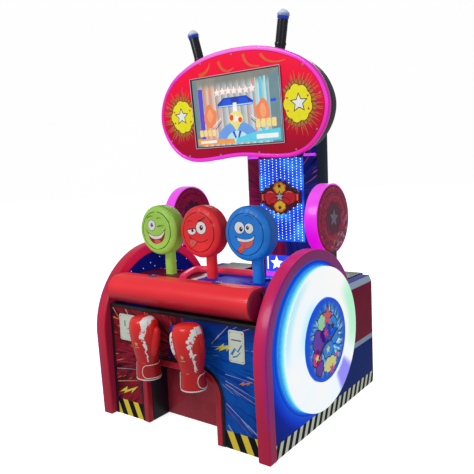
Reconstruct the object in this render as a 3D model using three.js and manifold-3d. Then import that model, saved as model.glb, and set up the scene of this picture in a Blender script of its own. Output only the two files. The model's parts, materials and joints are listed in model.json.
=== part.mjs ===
// Children's boxing punch machine with three tilting targets and two gloves on pegs.
// Millimetres, X to the player's right, Y away from the player, Z up.
// Heights are above the floor; depths are measured from the front foot of the side panels
// and moved at the end so that the origin is the middle of the footprint.

import * as THREE from 'three';
import { mergeVertices } from 'three/addons/utils/BufferGeometryUtils.js';
import Module from 'manifold-3d';

const wasm = await Module();
wasm.setup();

// ---- driving dimensions ----
const fit = 0.3;                  // gap left between touching parts
const board = 15;                 // cabinet board thickness
const roundSteps = 36;            // facets on the large round pieces

const sideOuter = 500;            // half the cabinet width, outside of the red rims
const rimInner = 437;             // inner face of the red rims
const coreInner = 443;            // inner face of the navy side panels
const coreOuter = 494;            // outer face of the navy side panels
const archCentre = [395, 412];    // depth and height of the arch centre
const archRadius = 408;
const rimBand = 50;               // radial width of the red rim
const frontFoot = 0;              // depth of the rim's front foot
const rearBoxTop = 598;
const rearEnd = 1048;             // depth of the rear edge of the side panels
const rearChamfer = 38;

const ringCentre = [405, 420];
const ringRadius = 325;
const ringHole = 188;
const ringStand = 52;             // how far the ring light stands off its panel
const ringRound = 16;

const frontFace = 33;             // depth of the front board's face
const frontBoard = 18;
const frontTop = 560;
const trimWidth = 15;
const recessHalf = 207;           // clear half width of the knee recess
const recessTop = 302;
const recessCorner = 87;
const bandWidth = 29;             // red band round the recess
const bandFront = 26;
const edgeWidth = 14;             // black edge round the red band
const recessBack = 165;

const rollCentre = [67, 635];
const rollHalf = 420;
const rollRadius = 67;
const rollBack = 140;
const buttonX = 190;
const buttonY = 95;
const buttonTravel = 4;

const deckTop = 675;
const deckRear = 388;             // rear edge beside the bulge
const deckBulge = 492;            // rear edge at the middle
const bulgeHalf = 200;
const bulgeRound = 50;
const railRadius = 16;
const wellTop = 485;              // floor of the well behind the deck
const coverFront = 700;           // front of the raised rear covers

const targetX = [-268, 0, 268];
const targetNames = ['left', 'middle', 'right'];
const targetColours = [0x8fc93a, 0xe02a2a, 0x1f7fd6];
const padRadius = 125;
const padThick = 94;
const padRound = 24;
const padFront = 212;
const padHeight = 902;
const stalkY = 302;
const stalkRadius = 27;
const pivotHeight = 615;
const shaftRadius = 10;
const hubRadius = 22;
const hubHalf = 20;
const armRadius = 14;
const cheekX = [-340, -134, 134, 340];
const cheekHalf = 4;
const springRadius = 15;
const springWire = 2;
const springTurns = 3;
const springPitch = 7;

const columnHalf = 228;
const columnFront = 955;
const columnBack = 1085;
const columnTop = 1590;
const columnWall = 12;
const curtain = { half: 145, low: 765, high: 1235, thick: 4 };
const emblem = { middle: 1019, thick: 18 };
const emblemHalfOutline = [       // half width and height from the emblem's middle
  [0, 103], [12, 84], [34, 92], [42, 70], [66, 72], [70, 54], [102, 52], [106, 36], [134, 36],
  [134, -36], [106, -38], [98, -56], [72, -60], [66, -78], [44, -76], [34, -96], [14, -88], [0, -103],
];
const sign = { half: 122, low: 502, high: 682, thick: 6 };

const headHeight = 1470;          // height where the head's face stands at headFace
const headFace = 548;
const headTilt = 4.5;             // degrees the head leans over the player
const headHalfOutline = [
  [0, 304], [112, 298], [212, 280], [305, 249], [392, 203], [458, 140], [498, 66], [512, -8],
  [497, -82], [458, -150], [402, -202], [333, -232], [260, -241], [160, -236], [55, -226], [0, -224],
];
const neonWidth = 22;
const neonDepth = 30;
const headPanel = 12;
const casingInset = 15;
const casingDepth = 86;
const screenHalf = [258, 163];
const screenMiddle = 9;
const bezelWidth = 17;
const neckHalf = 150;
const neckLow = 1345;
const neckHigh = 1575;

const antennaX = 243;
const antennaLean = 12;
const antennaRadius = 26;
const antennaDepth = 60;          // behind the head's face
const antennaLength = 137;
const lampBand = 14;
const domeRadius = 31;
const domeHeight = 29;

const drumCentre = [650, 932];
const drumRadius = 168;
const drumSkin = 6;
const drumInner = 404;
const drumOuter = 474;

const gloveX = 130;
const gloveY = -38;
const gloveFlatten = 0.84;
const gloveLean = 4;              // degrees, the cuff swinging to the player's right
const gloveProfile = [
  [0, 264], [63, 264], [64, 278], [61, 306], [60, 336], [64, 368], [72, 410],
  [79, 456], [80, 500], [74, 530], [54, 549], [0, 556],
];
const pegRadius = 7;
const pegHeight = 364;
const gloveSlotHalf = 10;         // half width of the slot in the back of a glove
const gloveSlotDrop = 22;         // how far the slot runs below the peg's axis

const doorHalf = 199;
const doorLow = 61;
const doorHigh = 449;
const hingeX = -206;
const hingeY = 1051;

// ---- helpers ----
const machine = new THREE.Group();
machine.name = 'boxing_machine';

function solid(geometry) {
  const plain = geometry.clone();
  plain.deleteAttribute('normal');
  plain.deleteAttribute('uv');
  const merged = mergeVertices(plain, 1e-3);
  const position = merged.attributes.position;
  const index = merged.index;
  let volume = 0;
  const a = new THREE.Vector3();
  const b = new THREE.Vector3();
  const c = new THREE.Vector3();
  for (let i = 0; i < index.count; i += 3) {
    a.fromBufferAttribute(position, index.getX(i));
    b.fromBufferAttribute(position, index.getX(i + 1));
    c.fromBufferAttribute(position, index.getX(i + 2));
    volume += a.dot(b.cross(c));
  }
  const corners = [];
  for (let i = 0; i < index.count; i += 3) {
    const [p, q, r] = [index.getX(i), index.getX(i + 1), index.getX(i + 2)];
    if (p === q || q === r || r === p) continue;
    corners.push(p, volume > 0 ? q : r, volume > 0 ? r : q);
  }
  return new wasm.Manifold(new wasm.Mesh({
    numProp: 3,
    vertProperties: new Float32Array(position.array),
    triVerts: new Uint32Array(corners),
  }));
}

function add(name, body, colour, roughness, metalness = 0) {
  const mesh = body.getMesh();
  const geometry = new THREE.BufferGeometry();
  geometry.setAttribute('position', new THREE.BufferAttribute(new Float32Array(mesh.vertProperties), 3));
  geometry.setIndex(new THREE.BufferAttribute(new Uint32Array(mesh.triVerts), 1));
  const faceted = geometry.toNonIndexed();
  faceted.computeVertexNormals();
  const material = new THREE.MeshStandardMaterial({ color: colour, roughness, metalness });
  const part = new THREE.Mesh(faceted, material);
  part.name = name;
  machine.add(part);
}

function box(x0, x1, y0, y1, z0, z1) {
  const geometry = new THREE.BoxGeometry(x1 - x0, y1 - y0, z1 - z0);
  geometry.translate((x0 + x1) / 2, (y0 + y1) / 2, (z0 + z1) / 2);
  return solid(geometry);
}

function shapeOf(points) {
  return new THREE.Shape(points.map(([u, v]) => new THREE.Vector2(u, v)));
}

function extrude(points, depth, across, up, along, origin) {
  const geometry = new THREE.ExtrudeGeometry(shapeOf(points), { depth, bevelEnabled: false });
  const place = new THREE.Matrix4().makeBasis(across, up, along);
  place.setPosition(origin);
  geometry.applyMatrix4(place);
  return solid(geometry);
}

const unitX = new THREE.Vector3(1, 0, 0);
const unitY = new THREE.Vector3(0, 1, 0);
const unitZ = new THREE.Vector3(0, 0, 1);

// A side view outline, given as depth and height, given width from x0 to x1.
function alongX(points, x0, x1) {
  return extrude(points, x1 - x0, unitY, unitZ, unitX, new THREE.Vector3(x0, 0, 0));
}

// A front view outline, given as x and height, given depth from y0 to y1.
function alongY(points, y0, y1) {
  return extrude(points, y1 - y0, unitX, unitZ, unitY.clone().negate(), new THREE.Vector3(0, y1, 0));
}

// A plan outline, given as x and depth, given height from z0 to z1.
function alongZ(points, z0, z1) {
  return extrude(points, z1 - z0, unitX, unitY, unitZ, new THREE.Vector3(0, 0, z0));
}

// A turned profile, given as radius and distance along the axis.
function turned(profile, segments, axis, centre) {
  const geometry = new THREE.LatheGeometry(profile.map(([r, h]) => new THREE.Vector2(r, h)), segments);
  if (axis === 'x') geometry.rotateZ(-Math.PI / 2);
  if (axis === 'z') geometry.rotateX(Math.PI / 2);
  geometry.translate(...centre);
  return solid(geometry);
}

function arc(centre, radius, from, to, steps) {
  const points = [];
  for (let i = 0; i <= steps; i += 1) {
    const angle = THREE.MathUtils.degToRad(from + ((to - from) * i) / steps);
    points.push([centre[0] + radius * Math.cos(angle), centre[1] + radius * Math.sin(angle)]);
  }
  return points;
}

function mirrored(body) {
  return body.mirror([1, 0, 0]);
}

function addPair(name, body, colour, roughness, metalness = 0) {
  add(`${name}_right`, body, colour, roughness, metalness);
  add(`${name}_left`, mirrored(body), colour, roughness, metalness);
}

function rod(path, radius, steps) {
  const circle = new THREE.Shape(arc([0, 0], radius, 0, 315, 7).map(([u, v]) => new THREE.Vector2(u, v)));
  return solid(new THREE.ExtrudeGeometry(circle, { steps, extrudePath: path, bevelEnabled: false }));
}

// Moves every point of an outline sideways; positive is to the right of its direction.
function offset(points, distance, closed) {
  const count = points.length;
  return points.map(([u, v], i) => {
    const before = points[closed ? (i + count - 1) % count : Math.max(i - 1, 0)];
    const after = points[closed ? (i + 1) % count : Math.min(i + 1, count - 1)];
    const along = new THREE.Vector2(after[0] - before[0], after[1] - before[1]).normalize();
    return [u + along.y * distance, v - along.x * distance];
  });
}

// ---- side panels: red arch rim, navy core, ring light and centre disc ----
function archCurve(radius) {
  const meet = Math.asin((rearBoxTop - archCentre[1]) / radius);
  return arc(archCentre, radius, 180, THREE.MathUtils.radToDeg(meet), 24);
}

const rimOutline = [
  [frontFoot, 0],
  ...archCurve(archRadius),
  ...archCurve(archRadius - rimBand).reverse(),
  [frontFoot + rimBand, 0],
];
addPair('side_rim', alongX(rimOutline, rimInner, sideOuter), 0xd5141f, 0.35);

const coreOutline = [
  [frontFoot + rimBand + fit, 0],
  ...archCurve(archRadius - rimBand - fit),
  [archCentre[0] + archRadius * 0.75, rearBoxTop - fit],
  [rearEnd - rearChamfer, rearBoxTop - fit],
  [rearEnd - board / 2, rearBoxTop - rearChamfer],
  [rearEnd, 0],
];
addPair('side_core', alongX(coreOutline, coreInner, coreOuter), 0x101c5e, 0.4);

const ringProfile = [
  [ringHole + fit, 0],
  [ringRadius, 0],
  ...arc([ringRadius - ringRound, ringStand - ringRound], ringRound, 0, 90, 2),
  [ringHole + fit, ringStand],
  [ringHole + fit, 0],
];
const ringPlace = [coreOuter + fit, ...ringCentre];
addPair('ring_light', turned(ringProfile, roundSteps, 'x', ringPlace), 0xf3f8ff, 0.25);
const discProfile = [[0, 0], [ringHole, 0], [ringHole, ringStand + 2], [ringHole - 4, ringStand + 6], [0, ringStand + 6]];
addPair('ring_disc', turned(discProfile, roundSteps, 'x', ringPlace), 0x2a6fd0, 0.35);

// ---- front: board, trim, knee recess ----
function recessArch(grow) {
  const half = recessHalf + grow;
  const top = recessTop + grow;
  const corner = recessCorner + grow;
  return [
    [half, -1],
    ...arc([half - corner, top - corner], corner, 0, 90, 5),
    ...arc([corner - half, top - corner], corner, 90, 180, 5),
    [-half, -1],
  ];
}

const floorCut = box(-600, 600, -200, 1200, -10, 0);
function recessShell(inside, outside, y0, y1) {
  return alongY(recessArch(outside), y0, y1).subtract(alongY(recessArch(inside), y0 - 1, y1 + 1)).subtract(floorCut);
}

const blackEdge = bandWidth + edgeWidth;
const frontRear = frontFace + frontBoard;
const frontHalf = rimInner - fit;
const frontBlank = box(-frontHalf + trimWidth, frontHalf - trimWidth, frontFace, frontRear, 0, frontTop - trimWidth - fit);
const recessHole = alongY(recessArch(blackEdge + fit), frontFace - 1, frontRear + 1);
add('front_board', frontBlank.subtract(recessHole), 0x1b3fb0, 0.35);

const trimBlank = box(-frontHalf, frontHalf, frontFace - 4, frontRear, 0, frontTop);
const trimInside = frontHalf - trimWidth + fit;
const trimFrame = trimBlank.subtract(box(-trimInside, trimInside, 0, 100, -1, frontTop - trimWidth));
const cheekOutline = [
  [frontFace, frontTop - trimWidth], [rollBack, frontTop - trimWidth],
  [rollBack, rollCentre[1] + 50], [rollCentre[0] + 20, rollCentre[1] + 50], [rollCentre[0] + 20, frontTop],
  [frontFace, frontTop],
];
const rollCheek = alongX(cheekOutline, rollHalf + fit, frontHalf);
add('front_trim', trimFrame.add(rollCheek).add(mirrored(rollCheek)), 0x101014, 0.5);

add('recess_band', recessShell(0, bandWidth, bandFront, frontRear + 7), 0xc81622, 0.35);
const linerFlange = recessShell(bandWidth + fit, blackEdge, frontFace - 3, frontRear + 10);
const linerWeb = recessShell(0, blackEdge, frontRear + 7 + fit, frontRear + 19);
const linerTunnel = recessShell(0, columnWall, frontRear + 7 + fit, recessBack);
add('recess_liner', linerFlange.add(linerWeb).add(linerTunnel), 0x121216, 0.5);
const recessPlate = alongY(recessArch(columnWall), recessBack + fit, recessBack + board);
add('recess_back', recessPlate.subtract(floorCut), 0xa51a26, 0.45);

const plateThick = 4;
function cardPlate(x0, x1, z0, z1) {
  return box(x0, x1, frontFace - fit - plateThick, frontFace - fit, z0, z1);
}
add('card_plate_left', cardPlate(-372, -262, 388, 517), 0xdfe8dc, 0.4);
add('card_plate_right', cardPlate(290, 370, 390, 528), 0xdfe8dc, 0.4);

// ---- padded front roll with its two buttons ----
const rollOutline = [
  ...arc(rollCentre, rollRadius, 90, 270, 14),
  [rollBack, rollCentre[1] - rollRadius],
  [rollBack, rollCentre[1] + rollRadius],
];
const rollTop = rollCentre[1] + rollRadius;
const bezelHole = 20;
const bezelDepth = 40;
const plungerRadius = 15;
let roll = alongX(rollOutline, -rollHalf, rollHalf);
for (const side of [-1, 1]) {
  const hole = [[0, 0], [bezelHole + fit, 0], [bezelHole + fit, 60], [0, 60]];
  roll = roll.subtract(turned(hole, 16, 'z', [side * buttonX, buttonY, rollTop - bezelDepth - 8]));
}
add('front_roll', roll, 0xd11d24, 0.45);

const bezelProfile = [
  [plungerRadius + fit, 0], [bezelHole, 0], [bezelHole, bezelDepth + fit], [26, bezelDepth + fit],
  [26, bezelDepth + 2], [23, bezelDepth + 4], [plungerRadius + fit, bezelDepth + 4], [plungerRadius + fit, 0],
];
addPair('button_bezel', turned(bezelProfile, 16, 'z', [buttonX, buttonY, rollTop - bezelDepth]), 0x16204e, 0.3, 0.2);
const plungerProfile = [
  [0, 0], [plungerRadius, 0], [plungerRadius, 38], [plungerRadius - 3, 40 + buttonTravel / 2], [0, 40 + buttonTravel],
];
const plungerPlace = [buttonX, buttonY, rollTop - bezelDepth + buttonTravel];
addPair('button', turned(plungerProfile, 16, 'z', plungerPlace), 0x2a3f9a, 0.25, 0.3);

// ---- deck with its bulge, rail, well floor ----
function deckRearCurve() {
  const inner = bulgeHalf - bulgeRound;
  const foot = bulgeHalf + bulgeRound;
  const right = [
    [frontHalf, deckRear],
    ...arc([foot, deckRear + bulgeRound], bulgeRound, 270, 180, 4),
    ...arc([inner, deckBulge - bulgeRound], bulgeRound, 0, 90, 4),
  ];
  return [...right, ...right.map(([x, y]) => [-x, y]).reverse()];
}

const slotHalf = stalkRadius + 4;
const slotFront = stalkY - stalkRadius - 4;
const slotRear = stalkY + stalkRadius + 34;
let deck = alongZ([[-frontHalf, rollBack + fit], [frontHalf, rollBack + fit], ...deckRearCurve()], deckTop - board, deckTop);
for (const x of targetX) {
  deck = deck.subtract(box(x - slotHalf, x + slotHalf, slotFront, slotRear, deckTop - 50, deckTop + 10));
}
const skirtInner = offset(deckRearCurve(), -columnWall, false).reverse();
const skirt = alongZ([...deckRearCurve(), ...skirtInner], wellTop + fit, deckTop - board / 2);
add('deck', deck.add(skirt), 0x1d35b8, 0.4);

const railMiddle = deckTop + railRadius + fit;
const railLine = [                // rises beside the roll, runs behind the stalks and ends by the last one
  [-104, 196, deckTop + 2], [-116, 232, railMiddle - 4], [-138, 290, railMiddle], [-156, 345, railMiddle],
  [-140, 384, railMiddle], [-80, 397, railMiddle], [36, 396, railMiddle], [150, 394, railMiddle],
  [196, 386, railMiddle], [214, 370, railMiddle - 4], [216, 352, deckTop + 2],
];
const railPath = new THREE.CatmullRomCurve3(railLine.map((p) => new THREE.Vector3(...p)), false, 'centripetal');
const railShape = rod(railPath, railRadius, 30).subtract(box(-300, 300, 150, 600, 600, deckTop + fit));
add('deck_rail', railShape, 0xe0222c, 0.4);

const boardHalf = coreInner - fit;
add('well_board', box(-boardHalf, boardHalf, recessBack + board + fit, 1029, wellTop - 18, wellTop), 0x141a3c, 0.5);
add('base_board', box(-boardHalf, boardHalf, recessBack + board + fit, 1029, 0, 18), 0x24242a, 0.6);

// ---- targets: padded disc and sleeve, steel arm, return spring ----
const padProfile = [
  [0, 0],
  ...arc([padRadius - padRound, padRound], padRound, 270, 360, 3),
  ...arc([padRadius - padRound, padThick - padRound], padRound, 0, 90, 3),
  [0, padThick],
];
const sleeveFoot = deckTop - 26;
const armTop = padHeight - 12;

function pillar(x, radius, z0, z1, segments) {
  return turned([[0, 0], [radius, 0], [radius, z1 - z0], [0, z1 - z0]], segments, 'z', [x, stalkY, z0]);
}

targetX.forEach((x, i) => {
  const disc = turned(padProfile, 28, 'y', [x, padFront, padHeight]);
  const sleeve = pillar(x, stalkRadius, sleeveFoot, padHeight, 16);
  const bore = pillar(x, armRadius + fit, sleeveFoot - 1, armTop + fit, 12);
  add(`target_${targetNames[i]}`, disc.add(sleeve).subtract(bore), targetColours[i], 0.5);

  const hub = turned([[0, -hubHalf], [hubRadius, -hubHalf], [hubRadius, hubHalf], [0, hubHalf]], 16, 'x',
    [x, stalkY, pivotHeight]);
  const hubBore = turned([[0, -60], [shaftRadius + fit, -60], [shaftRadius + fit, 60], [0, 60]], 16, 'x',
    [x, stalkY, pivotHeight]);
  const arm = pillar(x, armRadius, pivotHeight + shaftRadius, armTop, 12);
  add(`arm_${targetNames[i]}`, hub.add(arm).subtract(hubBore), 0x9aa0a8, 0.35, 0.9);

  const coil = [];
  const perTurn = 8;
  for (let step = 0; step <= springTurns * perTurn; step += 1) {
    const angle = (step / perTurn) * 2 * Math.PI;
    const along = x + hubHalf + 4 + (step / perTurn) * springPitch;
    coil.push(new THREE.Vector3(along, stalkY + springRadius * Math.cos(angle), pivotHeight + springRadius * Math.sin(angle)));
  }
  const wire = new THREE.Shape(arc([0, 0], springWire, 0, 270, 3).map(([u, v]) => new THREE.Vector2(u, v)));
  const spring = new THREE.ExtrudeGeometry(wire, {
    steps: springTurns * perTurn,
    extrudePath: new THREE.CatmullRomCurve3(coil),
    bevelEnabled: false,
  });
  add(`spring_${targetNames[i]}`, solid(spring), 0xb8bcc2, 0.3, 0.9);
});

// ---- pivot frame under the deck: shaft, cheeks and the rail that joins them ----
const frameTop = deckTop - board - fit;
const shaftHalf = cheekX[3] + cheekHalf;
const shaftProfile = [[0, -shaftHalf], [shaftRadius, -shaftHalf], [shaftRadius, shaftHalf], [0, shaftHalf]];
let pivotFrame = turned(shaftProfile, 16, 'x', [0, stalkY, pivotHeight]);
for (const x of cheekX) {
  pivotFrame = pivotFrame.add(box(x - cheekHalf, x + cheekHalf, slotFront - 12, slotRear - 5, pivotHeight - 20, frameTop));
}
pivotFrame = pivotFrame.add(box(-shaftHalf, shaftHalf, slotFront - 20, slotFront - 12 + fit, frameTop - 40, frameTop));
add('pivot_frame', pivotFrame, 0x4a4d55, 0.5, 0.8);

// ---- rear of the cabinet ----
const shellRear = 1045;
const shellFront = 1030;
const coverTop = rearBoxTop + 2;
let rearShell = box(-boardHalf, boardHalf, shellFront, shellRear, 18 + fit, coverTop);
rearShell = rearShell.add(box(-frontHalf, frontHalf, coverFront, shellRear, coverTop - board, coverTop));
const coverDepthHalf = columnHalf + fit;
for (const side of [-1, 1]) {
  const wall = box(coverDepthHalf, coverDepthHalf + columnWall, coverFront, shellRear, wellTop + fit, coverTop);
  const nose = box(coverDepthHalf, frontHalf, coverFront, coverFront + columnWall, wellTop + fit, coverTop);
  rearShell = rearShell.add(side > 0 ? wall : mirrored(wall)).add(side > 0 ? nose : mirrored(nose));
}
rearShell = rearShell.subtract(box(-coverDepthHalf, coverDepthHalf, 600, shellFront, wellTop, coverTop + 10));
rearShell = rearShell.subtract(box(-doorHalf - 1, doorHalf + 1, 1000, 1100, doorLow - 1, doorHigh + 1));
add('rear_shell', rearShell, 0x17182a, 0.5);

const hingeProfile = [[0, doorLow + 20], [5, doorLow + 20], [5, doorHigh - 20], [0, doorHigh - 20]];
const doorPanel = box(-doorHalf, doorHalf, shellFront + 2, shellRear + 1, doorLow, doorHigh);
const doorLeaf = box(hingeX, hingeX + 60, shellRear + fit, shellRear + 3, doorLow + 20, doorHigh - 20);
const doorBarrel = turned(hingeProfile, 10, 'z', [hingeX, hingeY, 0]);
const doorPull = box(150, 176, shellRear, shellRear + 22, 220, 300);
add('rear_door', doorPanel.add(doorLeaf).add(doorBarrel).add(doorPull), 0x1c1d24, 0.5);

add('power_inlet', box(310, 358, shellRear + fit, shellRear + 8, 96, 126), 0x111114, 0.45);
add('control_box', box(-150, 150, 700, 900, 18 + fit, 190), 0x8c9096, 0.4, 0.6);

// ---- column, its lights and the emblem ----
const columnFoot = wellTop + fit;
const neckFace = (z) => headFace + casingDepth + neonDepth + 2 - Math.tan(THREE.MathUtils.degToRad(headTilt)) * (z - headHeight);
const columnLower = box(-columnHalf, columnHalf, columnFront, shellFront - fit, columnFoot, coverTop + 40);
const columnUpper = box(-columnHalf, columnHalf, columnFront, columnBack, coverTop + fit, columnTop);
const neckSide = [[neckFace(neckLow), neckLow], [columnFront + 5, neckLow], [columnFront + 5, neckHigh], [neckFace(neckHigh), neckHigh]];
const neck = alongX(neckSide, -neckHalf, neckHalf);
const hollowHalf = columnHalf - columnWall;
const hollowFront = columnFront + columnWall;
const hollowLower = box(-hollowHalf, hollowHalf, hollowFront, shellFront - columnWall, 0, coverTop + 60);
const hollowUpper = box(-hollowHalf, hollowHalf, hollowFront, columnBack - columnWall, coverTop + board, columnTop - columnWall);
add('column', columnLower.add(columnUpper).subtract(hollowLower).subtract(hollowUpper).add(neck), 0x1a1f4a, 0.4);

function columnPanel(size) {
  const front = columnFront - fit;
  return box(-size.half, size.half, front - size.thick, front, size.low, size.high);
}
add('led_curtain', columnPanel(curtain), 0x1e5cff, 0.3);
add('lit_sign', columnPanel(sign), 0x2f3fe0, 0.3);
const emblemRear = columnFront - 2 * fit - curtain.thick;
const emblemOutline = [...emblemHalfOutline, ...emblemHalfOutline.slice(1, -1).map(([x, z]) => [-x, z]).reverse()];
const emblemPlate = alongY(emblemOutline.map(([x, z]) => [x, emblem.middle + z]), emblemRear - emblem.thick, emblemRear);
add('emblem', emblemPlate, 0xb71c2e, 0.35);

// ---- head: leaning bean-shaped panel, neon rim, casing and monitor ----
const outlineCurve = new THREE.SplineCurve(headHalfOutline.map(([x, v]) => new THREE.Vector2(x, v)));
const rightHalf = outlineCurve.getPoints(22).map((p) => [p.x, p.y]);
const headOutline = [...rightHalf, ...rightHalf.slice(1, -1).map(([x, v]) => [-x, v]).reverse()];

function lean(body) {
  return body.rotate([headTilt, 0, 0]).translate([0, headFace, headHeight]);
}

// A slab of the head: its outline shrunk by inset, from depth y0 to y1 behind the face.
function headSlab(inset, y0, y1) {
  return alongY(inset > 0 ? offset(headOutline, inset, true) : headOutline, y0, y1);
}

function screenSlab(grow, y0, y1) {
  return box(-screenHalf[0] - grow, screenHalf[0] + grow, y0, y1,
    screenMiddle - screenHalf[1] - grow, screenMiddle + screenHalf[1] + grow);
}

const neonShape = headSlab(0, -4, neonDepth).subtract(headSlab(neonWidth, -6, neonDepth + 2));
add('head_neon', lean(neonShape), 0xff3fa0, 0.3);
const facePanel = headSlab(neonWidth + fit, 0, headPanel).subtract(screenSlab(6, -5, headPanel + 5));
add('head_panel', lean(facePanel), 0xc4172a, 0.35);
const casingFront = neonDepth + fit;
const casingRear = casingFront + casingDepth;
const casingShape = headSlab(casingInset, casingFront, casingRear)
  .subtract(headSlab(casingInset + columnWall, casingFront - 1, casingRear - columnWall));
add('head_casing', lean(casingShape), 0x15151a, 0.45);
add('screen_bezel', lean(screenSlab(bezelWidth, -8, -fit).subtract(screenSlab(0, -10, 2))), 0x141218, 0.35);
add('monitor', lean(screenSlab(5, 0, headPanel + 28)), 0x1a3cff, 0.15);

// ---- antennas with their lamps ----
const antennaSink = 30;
function antennaPart(profile, segments) {
  const tilted = turned(profile, segments, 'z', [0, 0, 0]).rotate([0, antennaLean, 0]);
  return lean(tilted.translate([antennaX, antennaDepth, 262]));
}
const antennaTube = antennaPart([[0, -antennaSink], [antennaRadius, -antennaSink], [antennaRadius, antennaLength],
  [0, antennaLength]], 16);
const casingKeepOut = lean(headSlab(casingInset - fit, casingFront - 2, casingRear + 2));
const neonKeepOut = lean(headSlab(0, -30, neonDepth + fit));
addPair('antenna', antennaTube.subtract(casingKeepOut).subtract(neonKeepOut), 0x17171c, 0.4);
const lampFoot = antennaLength + fit;
const lampProfile = [
  [0, lampFoot],
  [antennaRadius + 2, lampFoot],
  [antennaRadius + 2, lampFoot + lampBand],
  [domeRadius, lampFoot + lampBand + 2],
  ...arc([domeRadius - 14, lampFoot + lampBand + domeHeight - 14], 14, 0, 90, 2),
  [0, lampFoot + lampBand + domeHeight],
];
addPair('antenna_lamp', antennaPart(lampProfile, 16), 0xe9f2ff, 0.2);

// ---- drum light boxes standing on the arches ----
const drumHalf = (drumOuter - drumInner) / 2;
const drumPlace = [(drumInner + drumOuter) / 2, ...drumCentre];
const faceRadius = drumRadius - drumSkin - fit;
const drumProfile = [[0, -drumHalf], [faceRadius, -drumHalf], [faceRadius, drumHalf], [0, drumHalf]];
const bandProfile = [
  [faceRadius + fit, 3 - drumHalf], [drumRadius, 3 - drumHalf], [drumRadius, drumHalf - 3],
  [faceRadius + fit, drumHalf - 3], [faceRadius + fit, 3 - drumHalf],
];
const footHalf = 26;
const footBlank = box(rimInner + 3, drumOuter, drumCentre[0] - footHalf, drumCentre[0] + footHalf,
  drumCentre[1] - 215, drumCentre[1] - 120);
const archKeepOut = alongX(arc(archCentre, archRadius + 4 * fit, 0, 352.5, 47), rimInner - 20, sideOuter + 20);
const drumFoot = footBlank.subtract(archKeepOut);
addPair('drum', turned(drumProfile, roundSteps, 'x', drumPlace).add(drumFoot), 0x8c1230, 0.35);
const footNotch = box(rimInner + 2, drumOuter + 1, drumCentre[0] - footHalf - 1, drumCentre[0] + footHalf + 1,
  600, drumCentre[1] - 100);
addPair('drum_band', turned(bandProfile, roundSteps, 'x', drumPlace).subtract(footNotch), 0xff2fe0, 0.3);

// ---- gloves on their pegs ----
function rightGlove() {
  const hand = turned(gloveProfile, 18, 'z', [0, 0, 0]);
  const thumb = turned([[0, -68], [20, -60], [27, -30], [28, 20], [22, 50], [0, 64]], 10, 'z', [0, 0, 0])
    .rotate([0, -12, 0]).translate([-62, -18, 448]);
  const hollowProfile = [[0, 200], [50, 200], [47, 330], [58, 420], [46, 480], [0, 500]];
  const hollow = turned(hollowProfile, 14, 'z', [0, 0, 0]);
  const body = hand.add(thumb).subtract(hollow).scale([1, gloveFlatten, 1]);
  const slotTop = pegHeight + pegRadius + 2 * fit;
  const slot = box(-gloveSlotHalf, gloveSlotHalf, 0, 100, pegHeight - gloveSlotDrop, slotTop);
  return body.subtract(slot);
}

// Both gloves hang with the same lean, turned about the peg's axis.
function hung(glove, x) {
  return glove.translate([0, 0, -pegHeight]).rotate([0, -gloveLean, 0]).translate([x, gloveY, pegHeight]);
}
add('glove_right', hung(rightGlove(), gloveX), 0xd8141c, 0.4);
add('glove_left', hung(mirrored(rightGlove()), -gloveX), 0xd8141c, 0.4);

const pegRear = frontFace - fit;
const pegRod = turned([[0, gloveY], [pegRadius - 3, gloveY], [pegRadius, gloveY + 3], [pegRadius, pegRear], [0, pegRear]],
  16, 'y', [gloveX, 0, pegHeight]);
const pegFoot = box(gloveX - 22, gloveX + 22, pegRear - plateThick, pegRear, pegHeight - 12, pegHeight + 48);
addPair('glove_peg', pegRod.add(pegFoot), 0x8b9098, 0.3, 0.8);

// ---- put the origin at the middle of the footprint ----
const bounds = new THREE.Box3().setFromObject(machine);
const middle = (bounds.min.y + bounds.max.y) / 2;
for (const part of machine.children) {
  part.geometry.translate(0, -middle, 0);
}

export default machine;
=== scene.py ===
import json
import math
import random

import bmesh
import bpy
import numpy as np
from mathutils import Matrix, Vector
from mathutils.bvhtree import BVHTree
from mathutils.geometry import tessellate_polygon

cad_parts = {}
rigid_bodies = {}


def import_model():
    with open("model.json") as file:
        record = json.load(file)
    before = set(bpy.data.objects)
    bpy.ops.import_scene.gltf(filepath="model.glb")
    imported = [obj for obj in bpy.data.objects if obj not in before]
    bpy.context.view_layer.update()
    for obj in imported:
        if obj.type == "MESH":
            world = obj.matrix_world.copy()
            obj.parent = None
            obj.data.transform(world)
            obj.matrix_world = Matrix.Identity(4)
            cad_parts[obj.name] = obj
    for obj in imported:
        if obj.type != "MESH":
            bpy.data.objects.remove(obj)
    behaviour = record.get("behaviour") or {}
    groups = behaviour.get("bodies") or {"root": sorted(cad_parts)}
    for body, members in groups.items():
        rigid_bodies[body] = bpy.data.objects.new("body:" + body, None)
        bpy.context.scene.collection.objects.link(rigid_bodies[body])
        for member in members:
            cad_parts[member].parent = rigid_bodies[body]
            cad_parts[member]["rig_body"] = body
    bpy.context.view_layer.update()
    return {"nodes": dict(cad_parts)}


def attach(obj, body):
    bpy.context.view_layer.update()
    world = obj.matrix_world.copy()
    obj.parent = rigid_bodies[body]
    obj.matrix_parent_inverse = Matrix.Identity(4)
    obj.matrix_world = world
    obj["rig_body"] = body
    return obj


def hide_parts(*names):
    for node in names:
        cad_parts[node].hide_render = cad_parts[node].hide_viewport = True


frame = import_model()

# ---- sizes of the machine, in millimetres ----
# x is to the player's right, depth runs back from the side panels' front foot, height is above the floor.
FOOT = 490.32                 # depth of the middle of the footprint
ARCH = (395, 412)             # depth and height of the arch centre
ARCH_RADIUS = 408
RIM_BAND = 50
REAR_TOP = 598
RIM_INNER, RIM_OUTER = 437, 500
PANEL_OUTER = 494
RING = (405, 420)
RING_RADIUS, RING_HOLE, RING_STAND = 325, 188, 52
DISC_ART_SCALE = 1.13
FRONT_FACE = 33
RECESS_HALF, RECESS_TOP, RECESS_CORNER = 207, 302, 87
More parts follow.
